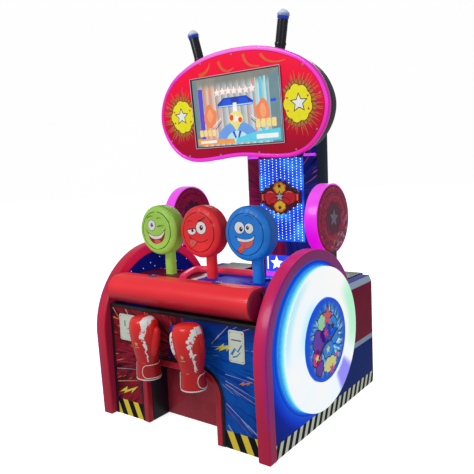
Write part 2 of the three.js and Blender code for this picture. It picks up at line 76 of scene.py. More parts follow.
ROLL_CENTRE, ROLL_RADIUS, ROLL_HALF, ROLL_BACK = (67, 635), 67, 420, 140
BUTTON_X, BUTTON_DEPTH = 190, 95
DECK_TOP = 675
TARGETS = {"left": -268, "middle": 0, "right": 268}
PAD_COLOURS = {"left": "green", "middle": "red", "right": "blue"}
PAD_RADIUS, PAD_THICK, PAD_FRONT, PAD_HEIGHT = 125, 94, 212, 902
STALK_DEPTH, STALK_RADIUS = 302, 27
COLUMN_FRONT = 955
DOOR_FACE, SHELL_FACE = 1046, 1045.3
LOCK = (163, 350)
INLET = (334, 1053.2, 111)    # middle of the socket's face: x, depth, height
HEAD_HEIGHT, HEAD_FACE, HEAD_TILT = 1470, 548, 4.5
NEON_WIDTH, NEON_DEPTH = 22, 30
CASING_FRONT, CASING_DEPTH = NEON_DEPTH + 0.3, 86
BURST_X, BURST = 354, (84, 92)  # a burst's distance from the middle, half width and height of its petals
SCREEN_HALF, SCREEN_MIDDLE = (258, 163), 9
DRUM = (650, 932)
DRUM_X, DRUM_HALF, DRUM_FACE_RADIUS = 439, 34.8, 158
DRUM_FOOT = (624, 676, 790)   # front and rear depth, and top, of the block that holds a drum
GLOVE_X, GLOVE_DEPTH = 130, -38
PEG_HEIGHT = 364
PEG_SLOT = (19, 336, 377)     # half width, bottom and top of the slot in a glove's back, for its peg
STRAP_HALF, STRAP_MIDDLE = 29, 308
SIDES = ((1, "right"), (-1, "left"))
GLOVE_HANG = {"right": (3.0, 10), "left": (1.5, 6)}     # lean in degrees, shift in millimetres
HEAD_HALF_OUTLINE = [
    (0, 304), (112, 298), (212, 280), (305, 249), (392, 203), (458, 140), (498, 66), (512, -8),
    (497, -82), (458, -150), (402, -202), (333, -232), (260, -241), (160, -236), (55, -226), (0, -224),
]


def at(x, depth, height):
    """A point of the machine, given in millimetres, in the frame's metres."""
    return Vector((x / 1000, (depth - FOOT) / 1000, height / 1000))


def in_metres(depth, height):
    """A depth and height as the frame's y and z."""
    return (depth - FOOT) / 1000, height / 1000


# ---- camera and light ----
CAMERA_PLACE = (1.6589, -2.22222, 1.1813)
CAMERA_YAW, CAMERA_PITCH, CAMERA_ROLL = math.radians(36.472), math.radians(6.905), math.radians(-2.427)
CAMERA_LENS, CAMERA_SENSOR = 42.1, 36


def link(obj):
    bpy.context.scene.collection.objects.link(obj)


def set_camera():
    data = bpy.data.cameras.new("camera")
    camera = bpy.data.objects.new("camera", data)
    link(camera)
    bpy.context.scene.camera = camera
    yaw, pitch, roll = CAMERA_YAW, CAMERA_PITCH, CAMERA_ROLL
    forward = Vector((-math.sin(yaw) * math.cos(pitch), math.cos(yaw) * math.cos(pitch), -math.sin(pitch)))
    level = Vector((math.cos(yaw), math.sin(yaw), 0))
    upright = level.cross(forward)
    right = level * math.cos(roll) + upright * math.sin(roll)
    up = upright * math.cos(roll) - level * math.sin(roll)
    turn = Matrix((right, up, -forward)).transposed()
    camera.matrix_world = Matrix.Translation(CAMERA_PLACE) @ turn.to_4x4()
    data.lens, data.sensor_width = CAMERA_LENS, CAMERA_SENSOR


def area_light(name, place, aim, size, power, colour=(1, 1, 1)):
    data = bpy.data.lights.new(name, "AREA")
    data.shape = "DISK"
    data.size = size
    data.energy = power
    data.color = colour
    lamp = bpy.data.objects.new(name, data)
    lamp.location = place
    lamp.rotation_mode = "QUATERNION"
    lamp.rotation_quaternion = (Vector(aim) - Vector(place)).to_track_quat("-Z", "Y")
    link(lamp)


def rgb(code):
    """A screen colour such as "ff8800" as the linear colour that a shader takes."""
    parts = [int(code[i:i + 2], 16) / 255 for i in (0, 2, 4)]
    return tuple(c / 12.92 if c <= 0.04045 else ((c + 0.055) / 1.055) ** 2.4 for c in parts) + (1.0,)


# ---- materials: a small writer of node graphs ----
class Graph:
    def __init__(self, name):
        self.material = bpy.data.materials.new(name)
        self.material.use_nodes = True
        self.tree = self.material.node_tree
        self.tree.nodes.clear()
        self.output = self.tree.nodes.new("ShaderNodeOutputMaterial")
        self.coord = self.tree.nodes.new("ShaderNodeTexCoord").outputs["Object"]
        split = self.tree.nodes.new("ShaderNodeSeparateXYZ")
        self.tree.links.new(self.coord, split.inputs[0])
        self.x, self.y, self.z = split.outputs

    def feed(self, socket, value):
        if isinstance(value, bpy.types.NodeSocket):
            self.tree.links.new(value, socket)
        elif isinstance(value, str):
            socket.default_value = rgb(value)
        else:
            socket.default_value = value

    def math(self, operation, *values):
        node = self.tree.nodes.new("ShaderNodeMath")
        node.operation = operation
        for socket, value in zip(node.inputs, values):
            self.feed(socket, value)
        return node.outputs[0]

    def plus(self, a, b):
        return self.math("ADD", a, b)

    def less(self, a, b):
        return self.math("SUBTRACT", a, b)

    def times(self, a, b):
        return self.math("MULTIPLY", a, b)

    def over(self, a, b):
        return self.math("DIVIDE", a, b)

    def scaled(self, value, factor, offset):
        return self.math("MULTIPLY_ADD", value, factor, offset)

    def opposite(self, value):
        """1 where value is 0, and 0 where it is 1."""
        return self.math("SUBTRACT", 1.0, value)

    def negative(self, value):
        return self.math("MULTIPLY", value, -1.0)

    def combine(self, x, y, z=0.0):
        node = self.tree.nodes.new("ShaderNodeCombineXYZ")
        for socket, value in zip(node.inputs, (x, y, z)):
            self.feed(socket, value)
        return node.outputs[0]

    def noise(self, scale, detail=2.0, vector=None, roughness=0.5):
        node = self.tree.nodes.new("ShaderNodeTexNoise")
        self.feed(node.inputs["Vector"], self.coord if vector is None else vector)
        node.inputs["Scale"].default_value = scale
        node.inputs["Detail"].default_value = detail
        node.inputs["Roughness"].default_value = roughness
        return node.outputs["Fac"]

    def cells(self, scale, vector=None, feature="F1", output="Distance", random=1.0):
        node = self.tree.nodes.new("ShaderNodeTexVoronoi")
        node.feature = feature
        self.feed(node.inputs["Vector"], self.coord if vector is None else vector)
        node.inputs["Scale"].default_value = scale
        node.inputs["Randomness"].default_value = random
        return node.outputs[output]

    def ramp(self, value, stops, mode="LINEAR"):
        node = self.tree.nodes.new("ShaderNodeValToRGB")
        node.color_ramp.interpolation = mode
        while len(node.color_ramp.elements) < len(stops):
            node.color_ramp.elements.new(0.5)
        for element, (place, colour) in zip(node.color_ramp.elements, stops):
            element.position = place
            element.color = rgb(colour) if isinstance(colour, str) else (colour, colour, colour, 1)
        self.feed(node.inputs[0], value)
        return node.outputs[0]

    def mix(self, factor, a, b):
        node = self.tree.nodes.new("ShaderNodeMix")
        node.data_type = "RGBA"
        self.feed(node.inputs[0], factor)
        self.feed(node.inputs[6], a)
        self.feed(node.inputs[7], b)
        return node.outputs[2]

    def blend(self, scale, detail, a, b):
        """The colours a and b in a noise."""
        return self.mix(self.noise(scale, detail), a, b)

    def vary(self, scale, detail, factor, offset):
        """A noise times factor, plus offset."""
        return self.scaled(self.noise(scale, detail), factor, offset)

    def grain(self, cells, noise, amount):
        """Height of a pebbled surface, for bump."""
        return self.plus(self.cells(cells), self.times(self.noise(noise, 3), amount))

    def rise(self, value, low, high):
        """0 below low, 1 above high, smooth between."""
        node = self.tree.nodes.new("ShaderNodeMapRange")
        node.interpolation_type = "SMOOTHSTEP"
        self.feed(node.inputs["Value"], value)
        node.inputs["From Min"].default_value = low
        node.inputs["From Max"].default_value = high
        return node.outputs["Result"]

    def inside(self, value, low, high, soft=0.0006):
        """1 between low and high."""
        above_low = self.rise(value, low - soft, low + soft)
        return self.times(above_low, self.opposite(self.rise(value, high - soft, high + soft)))

    def turn(self, u, v, centre):
        """Angle, as a share of a turn, and distance of (u, v) from centre."""
        du, dv = self.less(u, centre[0]), self.less(v, centre[1])
        angle = self.over(self.math("ARCTAN2", dv, du), math.tau)
        distance = self.math("SQRT", self.plus(self.times(du, du), self.times(dv, dv)))
        return angle, distance

    def around(self, angle, distance, along=1.0):
        """A vector for noise that streaks outward from the centre, with no step where the turn closes."""
        radians = self.times(angle, math.tau)
        return self.combine(self.math("COSINE", radians), self.math("SINE", radians),
                            self.times(distance, along))

    def facing(self, axis):
        node = self.tree.nodes.new("ShaderNodeNewGeometry")
        split = self.tree.nodes.new("ShaderNodeSeparateXYZ")
        self.tree.links.new(node.outputs["Normal"], split.inputs[0])
        return split.outputs[axis]

    def surface(self, colour, rough=0.4, metal=0.0, coat=0.0, glow=None, strength=0.0, bump=None,
                depth=0.0002, transmission=0.0, specular=0.25):
        shader = self.tree.nodes.new("ShaderNodeBsdfPrincipled")
        self.feed(shader.inputs["Base Color"], colour)
        self.feed(shader.inputs["Roughness"], rough)
        self.feed(shader.inputs["Metallic"], metal)
        self.feed(shader.inputs["Coat Weight"], coat)
        self.feed(shader.inputs["Coat Roughness"], 0.12)
        self.feed(shader.inputs["Specular IOR Level"], specular)
        self.feed(shader.inputs["Transmission Weight"], transmission)
        if glow is not None:
            self.feed(shader.inputs["Emission Color"], glow)
            self.feed(shader.inputs["Emission Strength"], strength)
        if bump is not None:
            node = self.tree.nodes.new("ShaderNodeBump")
            self.feed(node.inputs["Height"], bump)
            node.inputs["Distance"].default_value = depth
            node.inputs["Strength"].default_value = 0.6
            self.tree.links.new(node.outputs[0], shader.inputs["Normal"])
        self.tree.links.new(shader.outputs[0], self.output.inputs["Surface"])
        return self.material


def shade(code, amount):
    """The colour made darker (amount below 0) or lighter (above 0)."""
    parts = [int(code[i:i + 2], 16) for i in (0, 2, 4)]
    goal = 255 if amount > 0 else 0
    return "".join(f"{round(c + (goal - c) * abs(amount)):02x}" for c in parts)


def paint(name, colour, rough=0.35, coat=0.12, metal=0.0, vary=0.12, grain=900):
    g = Graph(name)
    tone = g.blend(14, 3, shade(colour, -vary), shade(colour, vary * 0.5))
    wear = g.vary(60, 4, 0.12, rough - 0.06)
    return g.surface(tone, wear, metal, coat, bump=g.noise(grain, 2), depth=0.00004)


def leather(name, colour, rough=0.42, coat=0.2):
    g = Graph(name)
    tone = g.blend(18, 3, shade(colour, -0.1), shade(colour, 0.05))
    grain = g.grain(700, 90, 0.8)
    return g.surface(tone, g.vary(120, 2, 0.14, rough - 0.07), 0.0, coat, bump=grain, depth=0.00012)


def ink(name, colour, rough=0.4, glow=0.0):
    g = Graph(name)
    tone = g.blend(45, 3, shade(colour, -0.08), shade(colour, 0.04))
    if glow:
        return g.surface(tone, rough, coat=0.1, glow=tone, strength=glow)
    return g.surface(tone, g.vary(200, 2, 0.1, rough - 0.05), coat=0.15)


def ink_set(prefix, **colours):
    """Inks named prefix_word, each given as a colour or as (colour, glow)."""
    pairs = [(word, (c, 0.0) if isinstance(c, str) else c) for word, c in colours.items()]
    return [ink(f"{prefix}_{word}", colour, glow=glow) for word, (colour, glow) in pairs]


def lamp(name, colour, edge, strength=1.0, scale=30):
    g = Graph(name)
    tone = g.mix(g.noise(scale, 2), edge, colour)
    return g.surface(shade(edge, -0.6), 0.3, coat=0.2, glow=tone, strength=strength)


def metal(name, dark, light, grain, rough, amount=0.9, coat=0.0):
    """A bare metal, dark and light in a noise of the given scale and detail."""
    g = Graph(name)
    return g.surface(g.mix(g.noise(*grain), dark, light), rough, amount, coat)


# ---- flat outlines ----
def polar(angle, across, up=None, centre=(0, 0)):
    """The point at an angle (radians) on a circle, or on an ellipse when up differs from across."""
    return centre[0] + across * math.cos(angle), centre[1] + (across if up is None else up) * math.sin(angle)


def arc(centre, radius, start, end, steps, squeeze=1.0):
    angles = [math.radians(start + (end - start) * i / steps) for i in range(steps + 1)]
    return [polar(a, radius, radius * squeeze, centre) for a in angles]


def ellipse(u, v, ru, rv=None, steps=36, tilt=0.0):
    return turned_by([polar(math.tau * i / steps, ru, rv, (u, v)) for i in range(steps)], tilt, (u, v))


def turned_by(points, degrees, centre=(0, 0)):
    c, s = math.cos(math.radians(degrees)), math.sin(math.radians(degrees))
    shifted = [(u - centre[0], v - centre[1]) for u, v in points]
    return [(centre[0] + u * c - v * s, centre[1] + u * s + v * c) for u, v in shifted]


def moved(points, du, dv, scale=1.0, flip=1):
    return [(du + flip * u * scale, dv + v * scale) for u, v in points]


def star(u, v, outer, inner, tips=5, start=90.0, squeeze=1.0):
    points = []
    for i in range(tips * 2):
        a = math.radians(start + i * 180 / tips)
        r = inner if i % 2 else outer
        points.append(polar(a, r, r * squeeze, (u, v)))
    return points


def splat(u, v, radius, lobes=11, depth=0.13, seed=1, squeeze=1.0, steps=132):
    """A round blot with rounded lobes of uneven size."""
    dice = random.Random(seed)
    shift = [dice.uniform(-0.05, 0.05) for _ in range(lobes + 1)]
    points = []
    for i in range(steps):
        t = i / steps * lobes
        k = int(t)
        wave = abs(math.sin(math.pi * (t - k))) ** 0.7
        r = radius * (1 - depth + depth * wave + shift[k] * wave)
        points.append(polar(math.tau * i / steps, r, r * squeeze, (u, v)))
    return points


def rounded(u0, v0, u1, v1, r, steps=6):
    return (arc((u1 - r, v1 - r), r, 0, 90, steps) + arc((u0 + r, v1 - r), r, 90, 180, steps)
            + arc((u0 + r, v0 + r), r, 180, 270, steps) + arc((u1 - r, v0 + r), r, 270, 360, steps))


def bar(u0, v0, u1, v1, w0, w1=None):
    """A straight stroke from one point to another, w0 wide at the start and w1 at the end."""
    w1 = w0 if w1 is None else w1
    du, dv = u1 - u0, v1 - v0
    long = math.hypot(du, dv)
    nu, nv = -dv / long, du / long
    return [(u0 - nu * w0 / 2, v0 - nv * w0 / 2), (u1 - nu * w1 / 2, v1 - nv * w1 / 2),
            (u1 + nu * w1 / 2, v1 + nv * w1 / 2), (u0 + nu * w0 / 2, v0 + nv * w0 / 2)]


def stroke(points, width, tip=1.0):
    """A bent stroke along points, width at the start and width * tip at the end."""
    left, right = [], []
    count = len(points)
    for i, (u, v) in enumerate(points):
        a, b = points[max(i - 1, 0)], points[min(i + 1, count - 1)]
        long = math.hypot(b[0] - a[0], b[1] - a[1]) or 1
        nu, nv = -(b[1] - a[1]) / long, (b[0] - a[0]) / long
        w = width / 2 * (1 + (tip - 1) * i / (count - 1))
        left.append((u + nu * w, v + nv * w))
        right.append((u - nu * w, v - nv * w))
    return left + right[::-1]


BOLT = [(0, 0), (44, 30), (40, 14), (100, 40), (62, 6), (68, 20), (22, -2), (30, 10)]


def area_of(points):
    return sum(a[0] * b[1] - b[0] * a[1] for a, b in zip(points, points[1:] + points[:1])) / 2


def anticlockwise(points):
    return points if area_of(points) > 0 else points[::-1]


def inset(points, distance):
    """A closed anticlockwise outline moved to its inside; a clockwise one, such as a hole, grows."""
    moved_points = []
    count = len(points)
    for i in range(count):
        (u0, v0), (u1, v1), (u2, v2) = points[i - 1], points[i], points[(i + 1) % count]
        a, b = Vector((u1 - u0, v1 - v0)), Vector((u2 - u1, v2 - v1))
        if a.length < 1e-9 or b.length < 1e-9:
            a = b = a if a.length > b.length else b
        a.normalize()
        b.normalize()
        na, nb = Vector((-a.y, a.x)), Vector((-b.y, b.x))
        n = (na + nb).normalized() if (na + nb).length > 1e-6 else na
        reach = distance / max(n.dot(nb), 0.4)
        moved_points.append((u1 + n.x * reach, v1 + n.y * reach))
    return moved_points


def grown(points, distance):
    """The outline moved to its outside, whichever way round it runs."""
    return inset(points, -distance if area_of(points) > 0 else distance)


def spline(points, per=8, closed=False):
    """A smooth line through the points."""
    count = len(points)
    out = []
    for i in range(count if closed else count - 1):
        p = [Vector(points[j % count] if closed else points[min(max(j, 0), count - 1)])
             for j in range(i - 1, i + 3)]
        for step in range(per):
            t = step / per
            square = (2 * p[0] - 5 * p[1] + 4 * p[2] - p[3]) * t * t
            cube = (3 * p[1] - p[0] - 3 * p[2] + p[3]) * t ** 3
            out.append(tuple(0.5 * (2 * p[1] + (p[2] - p[0]) * t + square + cube)))
    if not closed:
        out.append(tuple(points[-1]))
    return out


# ---- where flat outlines are placed: (u, v, lift off the surface) to a point ----
def on_front(depth):
    return lambda u, v, h: at(u, depth - h, v)


def on_side(side, x, depth=0, height=0, out=1, flip=1):
    """Facing sideways from x, with u along the depth; out is -1 where the surface faces the middle."""
    return lambda u, v, h: at(side * (x + out * h), depth + flip * u, height + v)


def on_top(top, x=0, depth=0):
    return lambda u, v, h: at(x + u, depth + v, top + h)


def on_back(depth, x=0, height=0):
    return lambda u, v, h: at(x + u, depth + h, height + v)


def head(x, depth, v):
    """A point of the leaning head, depth measured behind its face."""
    c, s = math.cos(math.radians(HEAD_TILT)), math.sin(math.radians(HEAD_TILT))
    return at(x, HEAD_FACE + depth * c - v * s, HEAD_HEIGHT + depth * s + v * c)


def on_head(depth):
    return lambda u, v, h: head(u, depth - h, v)


# ---- pieces ----
class Piece:
    """Collects solids and flat shapes, then becomes one object that rides on a body."""

    def __init__(self):
        self.points, self.faces, self.inks, self.flats, self.solids = [], [], [], [], []

    def add(self, points, faces, mat=0, flat=(), solid=True):
        start, first = len(self.points), len(self.faces)
        self.points += [Vector(p) for p in points]
        self.faces += [[i + start for i in face] for face in faces]
        self.inks += [mat] * len(faces)
        self.flats += [first + i for i in flat]
        if solid:
            self.solids += range(first, len(self.faces))
        return self

    def slab(self, loops, h0, h1, place, mat=0, edge=0.0, steps=3):
        """An outline with any holes, given thickness from h0 to h1 with rounded edges."""
        loops = [list(loop) for loop in loops]
        for i, loop in enumerate(loops):
            if (area_of(loop) > 0) != (i == 0):
                loops[i] = loop[::-1]
        rings = []
        if edge > 0:
            for k in range(steps + 1):
                a = math.pi / 2 * k / steps
                rings.append((edge * (1 - math.sin(a)), h0 + edge * (1 - math.cos(a))))
            rings += [(shrink, h0 + h1 - h) for shrink, h in reversed(rings)]
        else:
            rings = [(0, h0), (0, h1)]
        points, faces, starts = [], [], []
        for shrink, h in rings:
            starts.append(len(points))
            for loop in loops:
                points += [place(u, v, h) for u, v in (inset(loop, shrink) if shrink > 1e-6 else loop)]
        for ring in range(len(rings) - 1):
            first = 0
            for loop in loops:
                count = len(loop)
                for i in range(count):
                    j = (i + 1) % count
                    a, b = starts[ring] + first, starts[ring + 1] + first
                    faces.append([a + i, a + j, b + j, b + i])
                first += count
        caps = []
        flat_loops = [[Vector((u, v, 0)) for u, v in (inset(loop, rings[0][0]) if rings[0][0] else loop)]
                      for loop in loops]
        for triangle in tessellate_polygon(flat_loops):
            caps.append(len(faces))
            faces.append(list(triangle))
            caps.append(len(faces))
            faces.append([starts[-1] + i for i in reversed(triangle)])
        return self.add(points, faces, mat, caps)

    def flat(self, loop, place, mat=0, lift=0.4, hole=None):
        """A flat shape lying on a surface."""
        loops = [loop] if hole is None else [loop, hole]
        flat_loops = [[Vector((u, v, 0)) for u, v in one] for one in loops]
        points = [place(u, v, lift) for one in loops for u, v in one]
        u, v = loop[0]
        out = place(u, v, lift + 1) - place(u, v, lift)
        faces = []
        for a, b, c in tessellate_polygon(flat_loops):
            normal = (points[b] - points[a]).cross(points[c] - points[a])
            faces.append([a, b, c] if normal.dot(out) > 0 else [a, c, b])
        return self.add(points, faces, mat, range(len(faces)), solid=False)

    def outlined(self, loop, place, line, mats, lifts):
        """A flat shape on a larger one that shows as a line round it: mats and lifts are (line, shape)."""
        self.flat(inset(loop, -line), place, mats[0], lifts[0])
        return self.flat(loop, place, mats[1], lifts[1])

    def dots(self, centres, radius, place, mat=0, lift=0.5, steps=8):
        for u, v in centres:
            points = [place(*p, lift) for p in ellipse(u, v, radius, steps=steps)]
            self.add(points, [list(range(steps))], mat, [0], solid=False)
        return self

    def lathe(self, profile, steps, place, mat=0, closed=False, squeeze=1.0):
        """A turned solid: profile is (radius, distance along), place takes (u, v, along)."""
        profile = [p for i, p in enumerate(profile) if i == 0 or math.dist(p, profile[i - 1]) > 1e-4]
        points, faces, rings = [], [], []
        for r, along in profile:
            if r < 1e-6:
                rings.append([len(points)])
                points.append(place(0, 0, along))
            else:
                rings.append(list(range(len(points), len(points) + steps)))
                points += [place(*polar(math.tau * i / steps, r, r * squeeze), along) for i in range(steps)]
        pairs = list(zip(rings, rings[1:])) + ([(rings[-1], rings[0])] if closed else [])
        for a, b in pairs:
            for i in range(steps):
                j = (i + 1) % steps
                if len(a) == 1 and len(b) > 1:
                    faces.append([a[0], b[j], b[i]])
                elif len(b) == 1 and len(a) > 1:
                    faces.append([a[i], a[j], b[0]])
                elif len(a) > 1:
                    faces.append([a[i], a[j], b[j], b[i]])
        return self.add(points, faces, mat)

    def tube(self, line, radius, mat=0, steps=12, closed=False, flatten=1.0):
        """A round rod along the points of line, which are in the frame's metres; radius in millimetres."""
        line = [Vector(p) for p in line]
        count = len(line)
        points, faces = [], []
        side = None
        for i, p in enumerate(line):
            before = line[i - 1] if closed or i else line[0]
            after = line[(i + 1) % count] if closed or i < count - 1 else line[-1]
            along = (after - before).normalized()
            if side is None:
                side = along.cross(Vector((0.31, 0.17, 0.93))).normalized()
            side = (side - along * side.dot(along)).normalized()
            other = along.cross(side)
            r = (radius(i / (count - 1)) if callable(radius) else radius) / 1000
            points += [p + (side * math.cos(math.tau * k / steps)
                            + other * flatten * math.sin(math.tau * k / steps)) * r for k in range(steps)]
        for i in range(count if closed else count - 1):
            a, b = i * steps, (i + 1) % count * steps
            faces += [[a + k, a + (k + 1) % steps, b + (k + 1) % steps, b + k] for k in range(steps)]
        if not closed:
            faces += [list(range(steps))[::-1], [(count - 1) * steps + k for k in range(steps)]]
        return self.add(points, faces, mat)

    def mesh(self, name, smooth=32):
        mesh = bpy.data.meshes.new(name)
        mesh.from_pydata(self.points, [], self.faces)
        for polygon, mat in zip(mesh.polygons, self.inks):
            polygon.material_index = mat
            polygon.use_smooth = True
        for i in self.flats:
            mesh.polygons[i].use_smooth = False
        work = bmesh.new()
        work.from_mesh(mesh)
        work.faces.ensure_lookup_table()
        bmesh.ops.recalc_face_normals(work, faces=[work.faces[i] for i in self.solids])
        for edge in work.edges:
            edge.smooth = not (len(edge.link_faces) == 2 and edge.calc_face_angle(0) > math.radians(smooth))
        work.to_mesh(mesh)
        work.free()
        return mesh

    def done(self, name, materials, body="cabinet", instead=(), slot=None, smooth=32):
        obj = bpy.data.objects.new(name, self.mesh(name, smooth))
        return settle(obj, materials, body, instead)


def settle(obj, materials, body="cabinet", instead=()):
    if obj.name not in bpy.context.scene.collection.objects:
        link(obj)
    if materials:
        while obj.data.materials:
            obj.data.materials.pop()
        for material in materials if isinstance(materials, (list, tuple)) else [materials]:
            obj.data.materials.append(material)
    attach(obj, body)
    if instead:
        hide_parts(*([instead] if isinstance(instead, str) else instead))
    return obj


def baked(obj, name):
    """The object's mesh with its modifiers applied."""
    mesh = bpy.data.meshes.new_from_object(obj.evaluated_get(bpy.context.evaluated_depsgraph_get()))
    mesh.name = name
    return mesh


def refine(node, material, edge):
    """A CAD board with its sharp edges eased, in a better material."""
    body = frame["nodes"][node]["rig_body"]
    mesh = frame["nodes"][node].data.copy()
    work = bmesh.new()
    work.from_mesh(mesh)
    bmesh.ops.remove_doubles(work, verts=work.verts, dist=1e-5)
    bmesh.ops.dissolve_limit(work, angle_limit=math.radians(1), verts=work.verts, edges=work.edges)
    for face in work.faces:
        face.smooth = True
    work.to_mesh(mesh)
    work.free()
    obj = bpy.data.objects.new(node + "_shown", mesh)
    bevel = obj.modifiers.new("edge", "BEVEL")
    bevel.width = edge / 1000
    bevel.segments = 2
    bevel.limit_method = "ANGLE"
    bevel.angle_limit = math.radians(35)
    bevel.harden_normals = True
    return settle(obj, material, body, node)


def finish_node(node, material):
    """A CAD node shown as it is, in a better material."""
    frame["nodes"][node].data.materials[0] = material


# ---- soft pieces ----
CLOTH = {"quality": 4, "use_pressure": True, "tension_stiffness": 20, "compression_stiffness": 20,
         "bending_stiffness": 2}


def inflate(mesh, voxel, cap, pressure, frames=20):
    """Remeshes a closed body evenly and puffs it up as stuffed cloth; no point moves over cap (metres)."""
    obj = bpy.data.objects.new("soft_work", mesh)
    link(obj)
    even = obj.modifiers.new("even", "REMESH")
    even.mode = "VOXEL"
    even.voxel_size = voxel
    even.use_smooth_shade = True
    shape = baked(obj, "soft_even")
    obj.modifiers.clear()
    obj.data = shape
    rest = np.array([v.co for v in shape.vertices])
    cloth = obj.modifiers.new("cloth", "CLOTH")
    for setting, value in CLOTH.items():
        setattr(cloth.settings, setting, value)
    cloth.settings.uniform_pressure_force = pressure
    cloth.settings.effector_weights.gravity = 0
    scene = bpy.context.scene
    for i in range(1, frames + 1):
        scene.frame_set(i)
    puffed = baked(obj, "soft_puffed")
    obj.modifiers.clear()
    scene.frame_set(1)
    now = np.array([v.co for v in puffed.vertices])
    step = now - rest
    length = np.maximum(np.linalg.norm(step, axis=1, keepdims=True), 1e-9)
    step *= np.minimum(1, cap / length)
    shape.vertices.foreach_set("co", (rest + step).astype(np.float32).ravel())
    shape.update()
    soft = obj.modifiers.new("soften", "SMOOTH")
    soft.factor = 0.5
    soft.iterations = 4
    fine = obj.modifiers.new("fine", "SUBSURF")
    fine.levels = fine.render_levels = 1
    result = baked(obj, "soft_done")
    bpy.data.objects.remove(obj)
    for polygon in result.polygons:
        polygon.use_smooth = True
    return result


def surface_of(mesh):
    """A tree of the mesh's faces, to lay seams and prints on."""
    return BVHTree.FromPolygons([v.co.copy() for v in mesh.vertices],
                                [list(p.vertices) for p in mesh.polygons])


def laid_on(tree, start, direction, lift):
    """The point where a ray from start first meets the surface, lifted back towards start."""
    hit = tree.ray_cast(start, direction)[0]
    return (hit if hit is not None else start) - direction * (lift / 1000)


# ---- rims, side panels and ring lights ----
def arch_line(radius, steps=72):
    end = math.degrees(math.asin((REAR_TOP - ARCH[1]) / radius))
    return arc(ARCH, radius, 180, end, steps)


def rim_material(name, side):
    g = Graph(name)
    outward = g.times(g.facing(0), side)
    # painted shade: the rim's outward faces are a darker purple, shade tinted by the ring light's glow
    painted_side_shade = g.mix(g.rise(g.z, 0.5, 0.84), "ac1858", "88146c")
    # painted shading: each rim is darker low down and lighter and pinker towards the top, and the two rims
    # have their own tones for the light on each side
    right_painted_shading, left_painted_shading = ("b01440", "d41c60", "f43a90"), ("a81a34", "cc2038", "d8205c")
    low_tone, high_tone, top_tone = right_painted_shading if side > 0 else left_painted_shading
    tone = g.mix(g.rise(g.z, 0.1, 0.6), low_tone, high_tone)
    tone = g.mix(g.rise(g.z, 0.74, 0.83), tone, top_tone)
    tone = g.mix(g.rise(outward, 0.45, 0.85), tone, painted_side_shade)
    # painted shade on the inward faces: dark crimson low down, lighter above
    painted_inner_shade = g.mix(g.rise(g.z, 0.58, 0.68), "7c1430", "b01cb4" if side > 0 else "dc1048")
    inward = g.rise(g.negative(outward), 0.5, 0.9)
    tone = g.mix(inward, tone, painted_inner_shade)
    # painted light: a purple glow of the ring light on the outward face beside the ring
    painted_ring_glow = g.times(g.rise(g.math("ABSOLUTE", g.x), 0.468, 0.5), g.inside(g.z, 0.16, 0.74, 0.08))
    tone = g.mix(g.times(g.times(painted_ring_glow, g.opposite(inward)), 0.45), tone, "7020a0")
    tone = g.mix(g.times(g.noise(9, 3), 0.25), tone, "a01030")
    # painted light: the whole rim glows faintly, and its inward faces glow more
    return g.surface(tone, g.vary(50, 3, 0.1, 0.3), coat=0.15, glow=tone,
                     strength=g.scaled(inward, 0.3, 0.14), bump=g.noise(700, 2), depth=0.00003)


STRIPE_TOP = (0.062, 0.0635) # where the warning stripes on the side panels fade out, in metres
REAR_BLOCK = (0.277, 0.561)  # bottom and top of the red block on a side panel's rear
REAR_LINES = ((0.250, 0.277), (0.561, 0.597))


def panel_material(name):
    g = Graph(name)
    far = g.turn(g.y, g.z, in_metres(*RING))[1]
    edge = g.less(far, RING_RADIUS / 1000)
    # painted light: a blue halo of the ring light on the panel, brightest next to the ring and darker further
    # out
    painted_halo = g.ramp(g.over(edge, 0.08), [
        (0.0, "1470e0"), (0.08, "0c5cd8"), (0.17, "0848cc"), (0.225, "0a2890"), (0.28, "104cc8"),
        (0.42, "0c40bc"), (0.7, "0430b4"), (1.0, "022090")])
    fade = g.times(g.opposite(g.rise(edge, 0.03, 0.2)), 0.9)
    depth = g.plus(g.y, FOOT / 1000)
    rear = g.rise(depth, 0.56, 0.60)
    plain = g.blend(5, 2, "002c80", "002468")
    block = g.blend(8, 3, "88203c", "681a34")
    tone = g.mix(g.times(rear, g.inside(g.z, *REAR_BLOCK)), plain, block)
    for line, colour in zip(REAR_LINES, ("93a3bd", "a3b4cc")):
        tone = g.mix(g.times(rear, g.inside(g.z, *line)), tone, colour)
    halo_reach = g.opposite(g.rise(edge, 0.05, 0.25))
    tone = g.mix(g.times(halo_reach, g.opposite(rear)), tone, painted_halo)
    slant = g.math("FRACT", g.over(g.less(g.y, g.times(g.z, 0.45)), 0.054))
    stripes = g.mix(g.inside(slant, 0.02, 0.50, 0.02), "0a1830", "d9ddc4")
    low = g.opposite(g.rise(g.z, *STRIPE_TOP))
    tone = g.mix(low, tone, stripes)
    outside = g.rise(g.math("ABSOLUTE", g.x), 0.4925, 0.4935)
    inner = g.blend(7, 2, "0a1878", "1020a0")
    tone = g.mix(outside, inner, tone)
    # painted light: the panel glows faintly all over, and more in the halo round the ring
    lit = g.times(g.times(fade, outside), g.times(g.opposite(low), g.opposite(rear)))
    return g.surface(tone, 0.5, coat=0.0, glow=tone, strength=g.scaled(lit, 0.5, 0.14), specular=0.05)


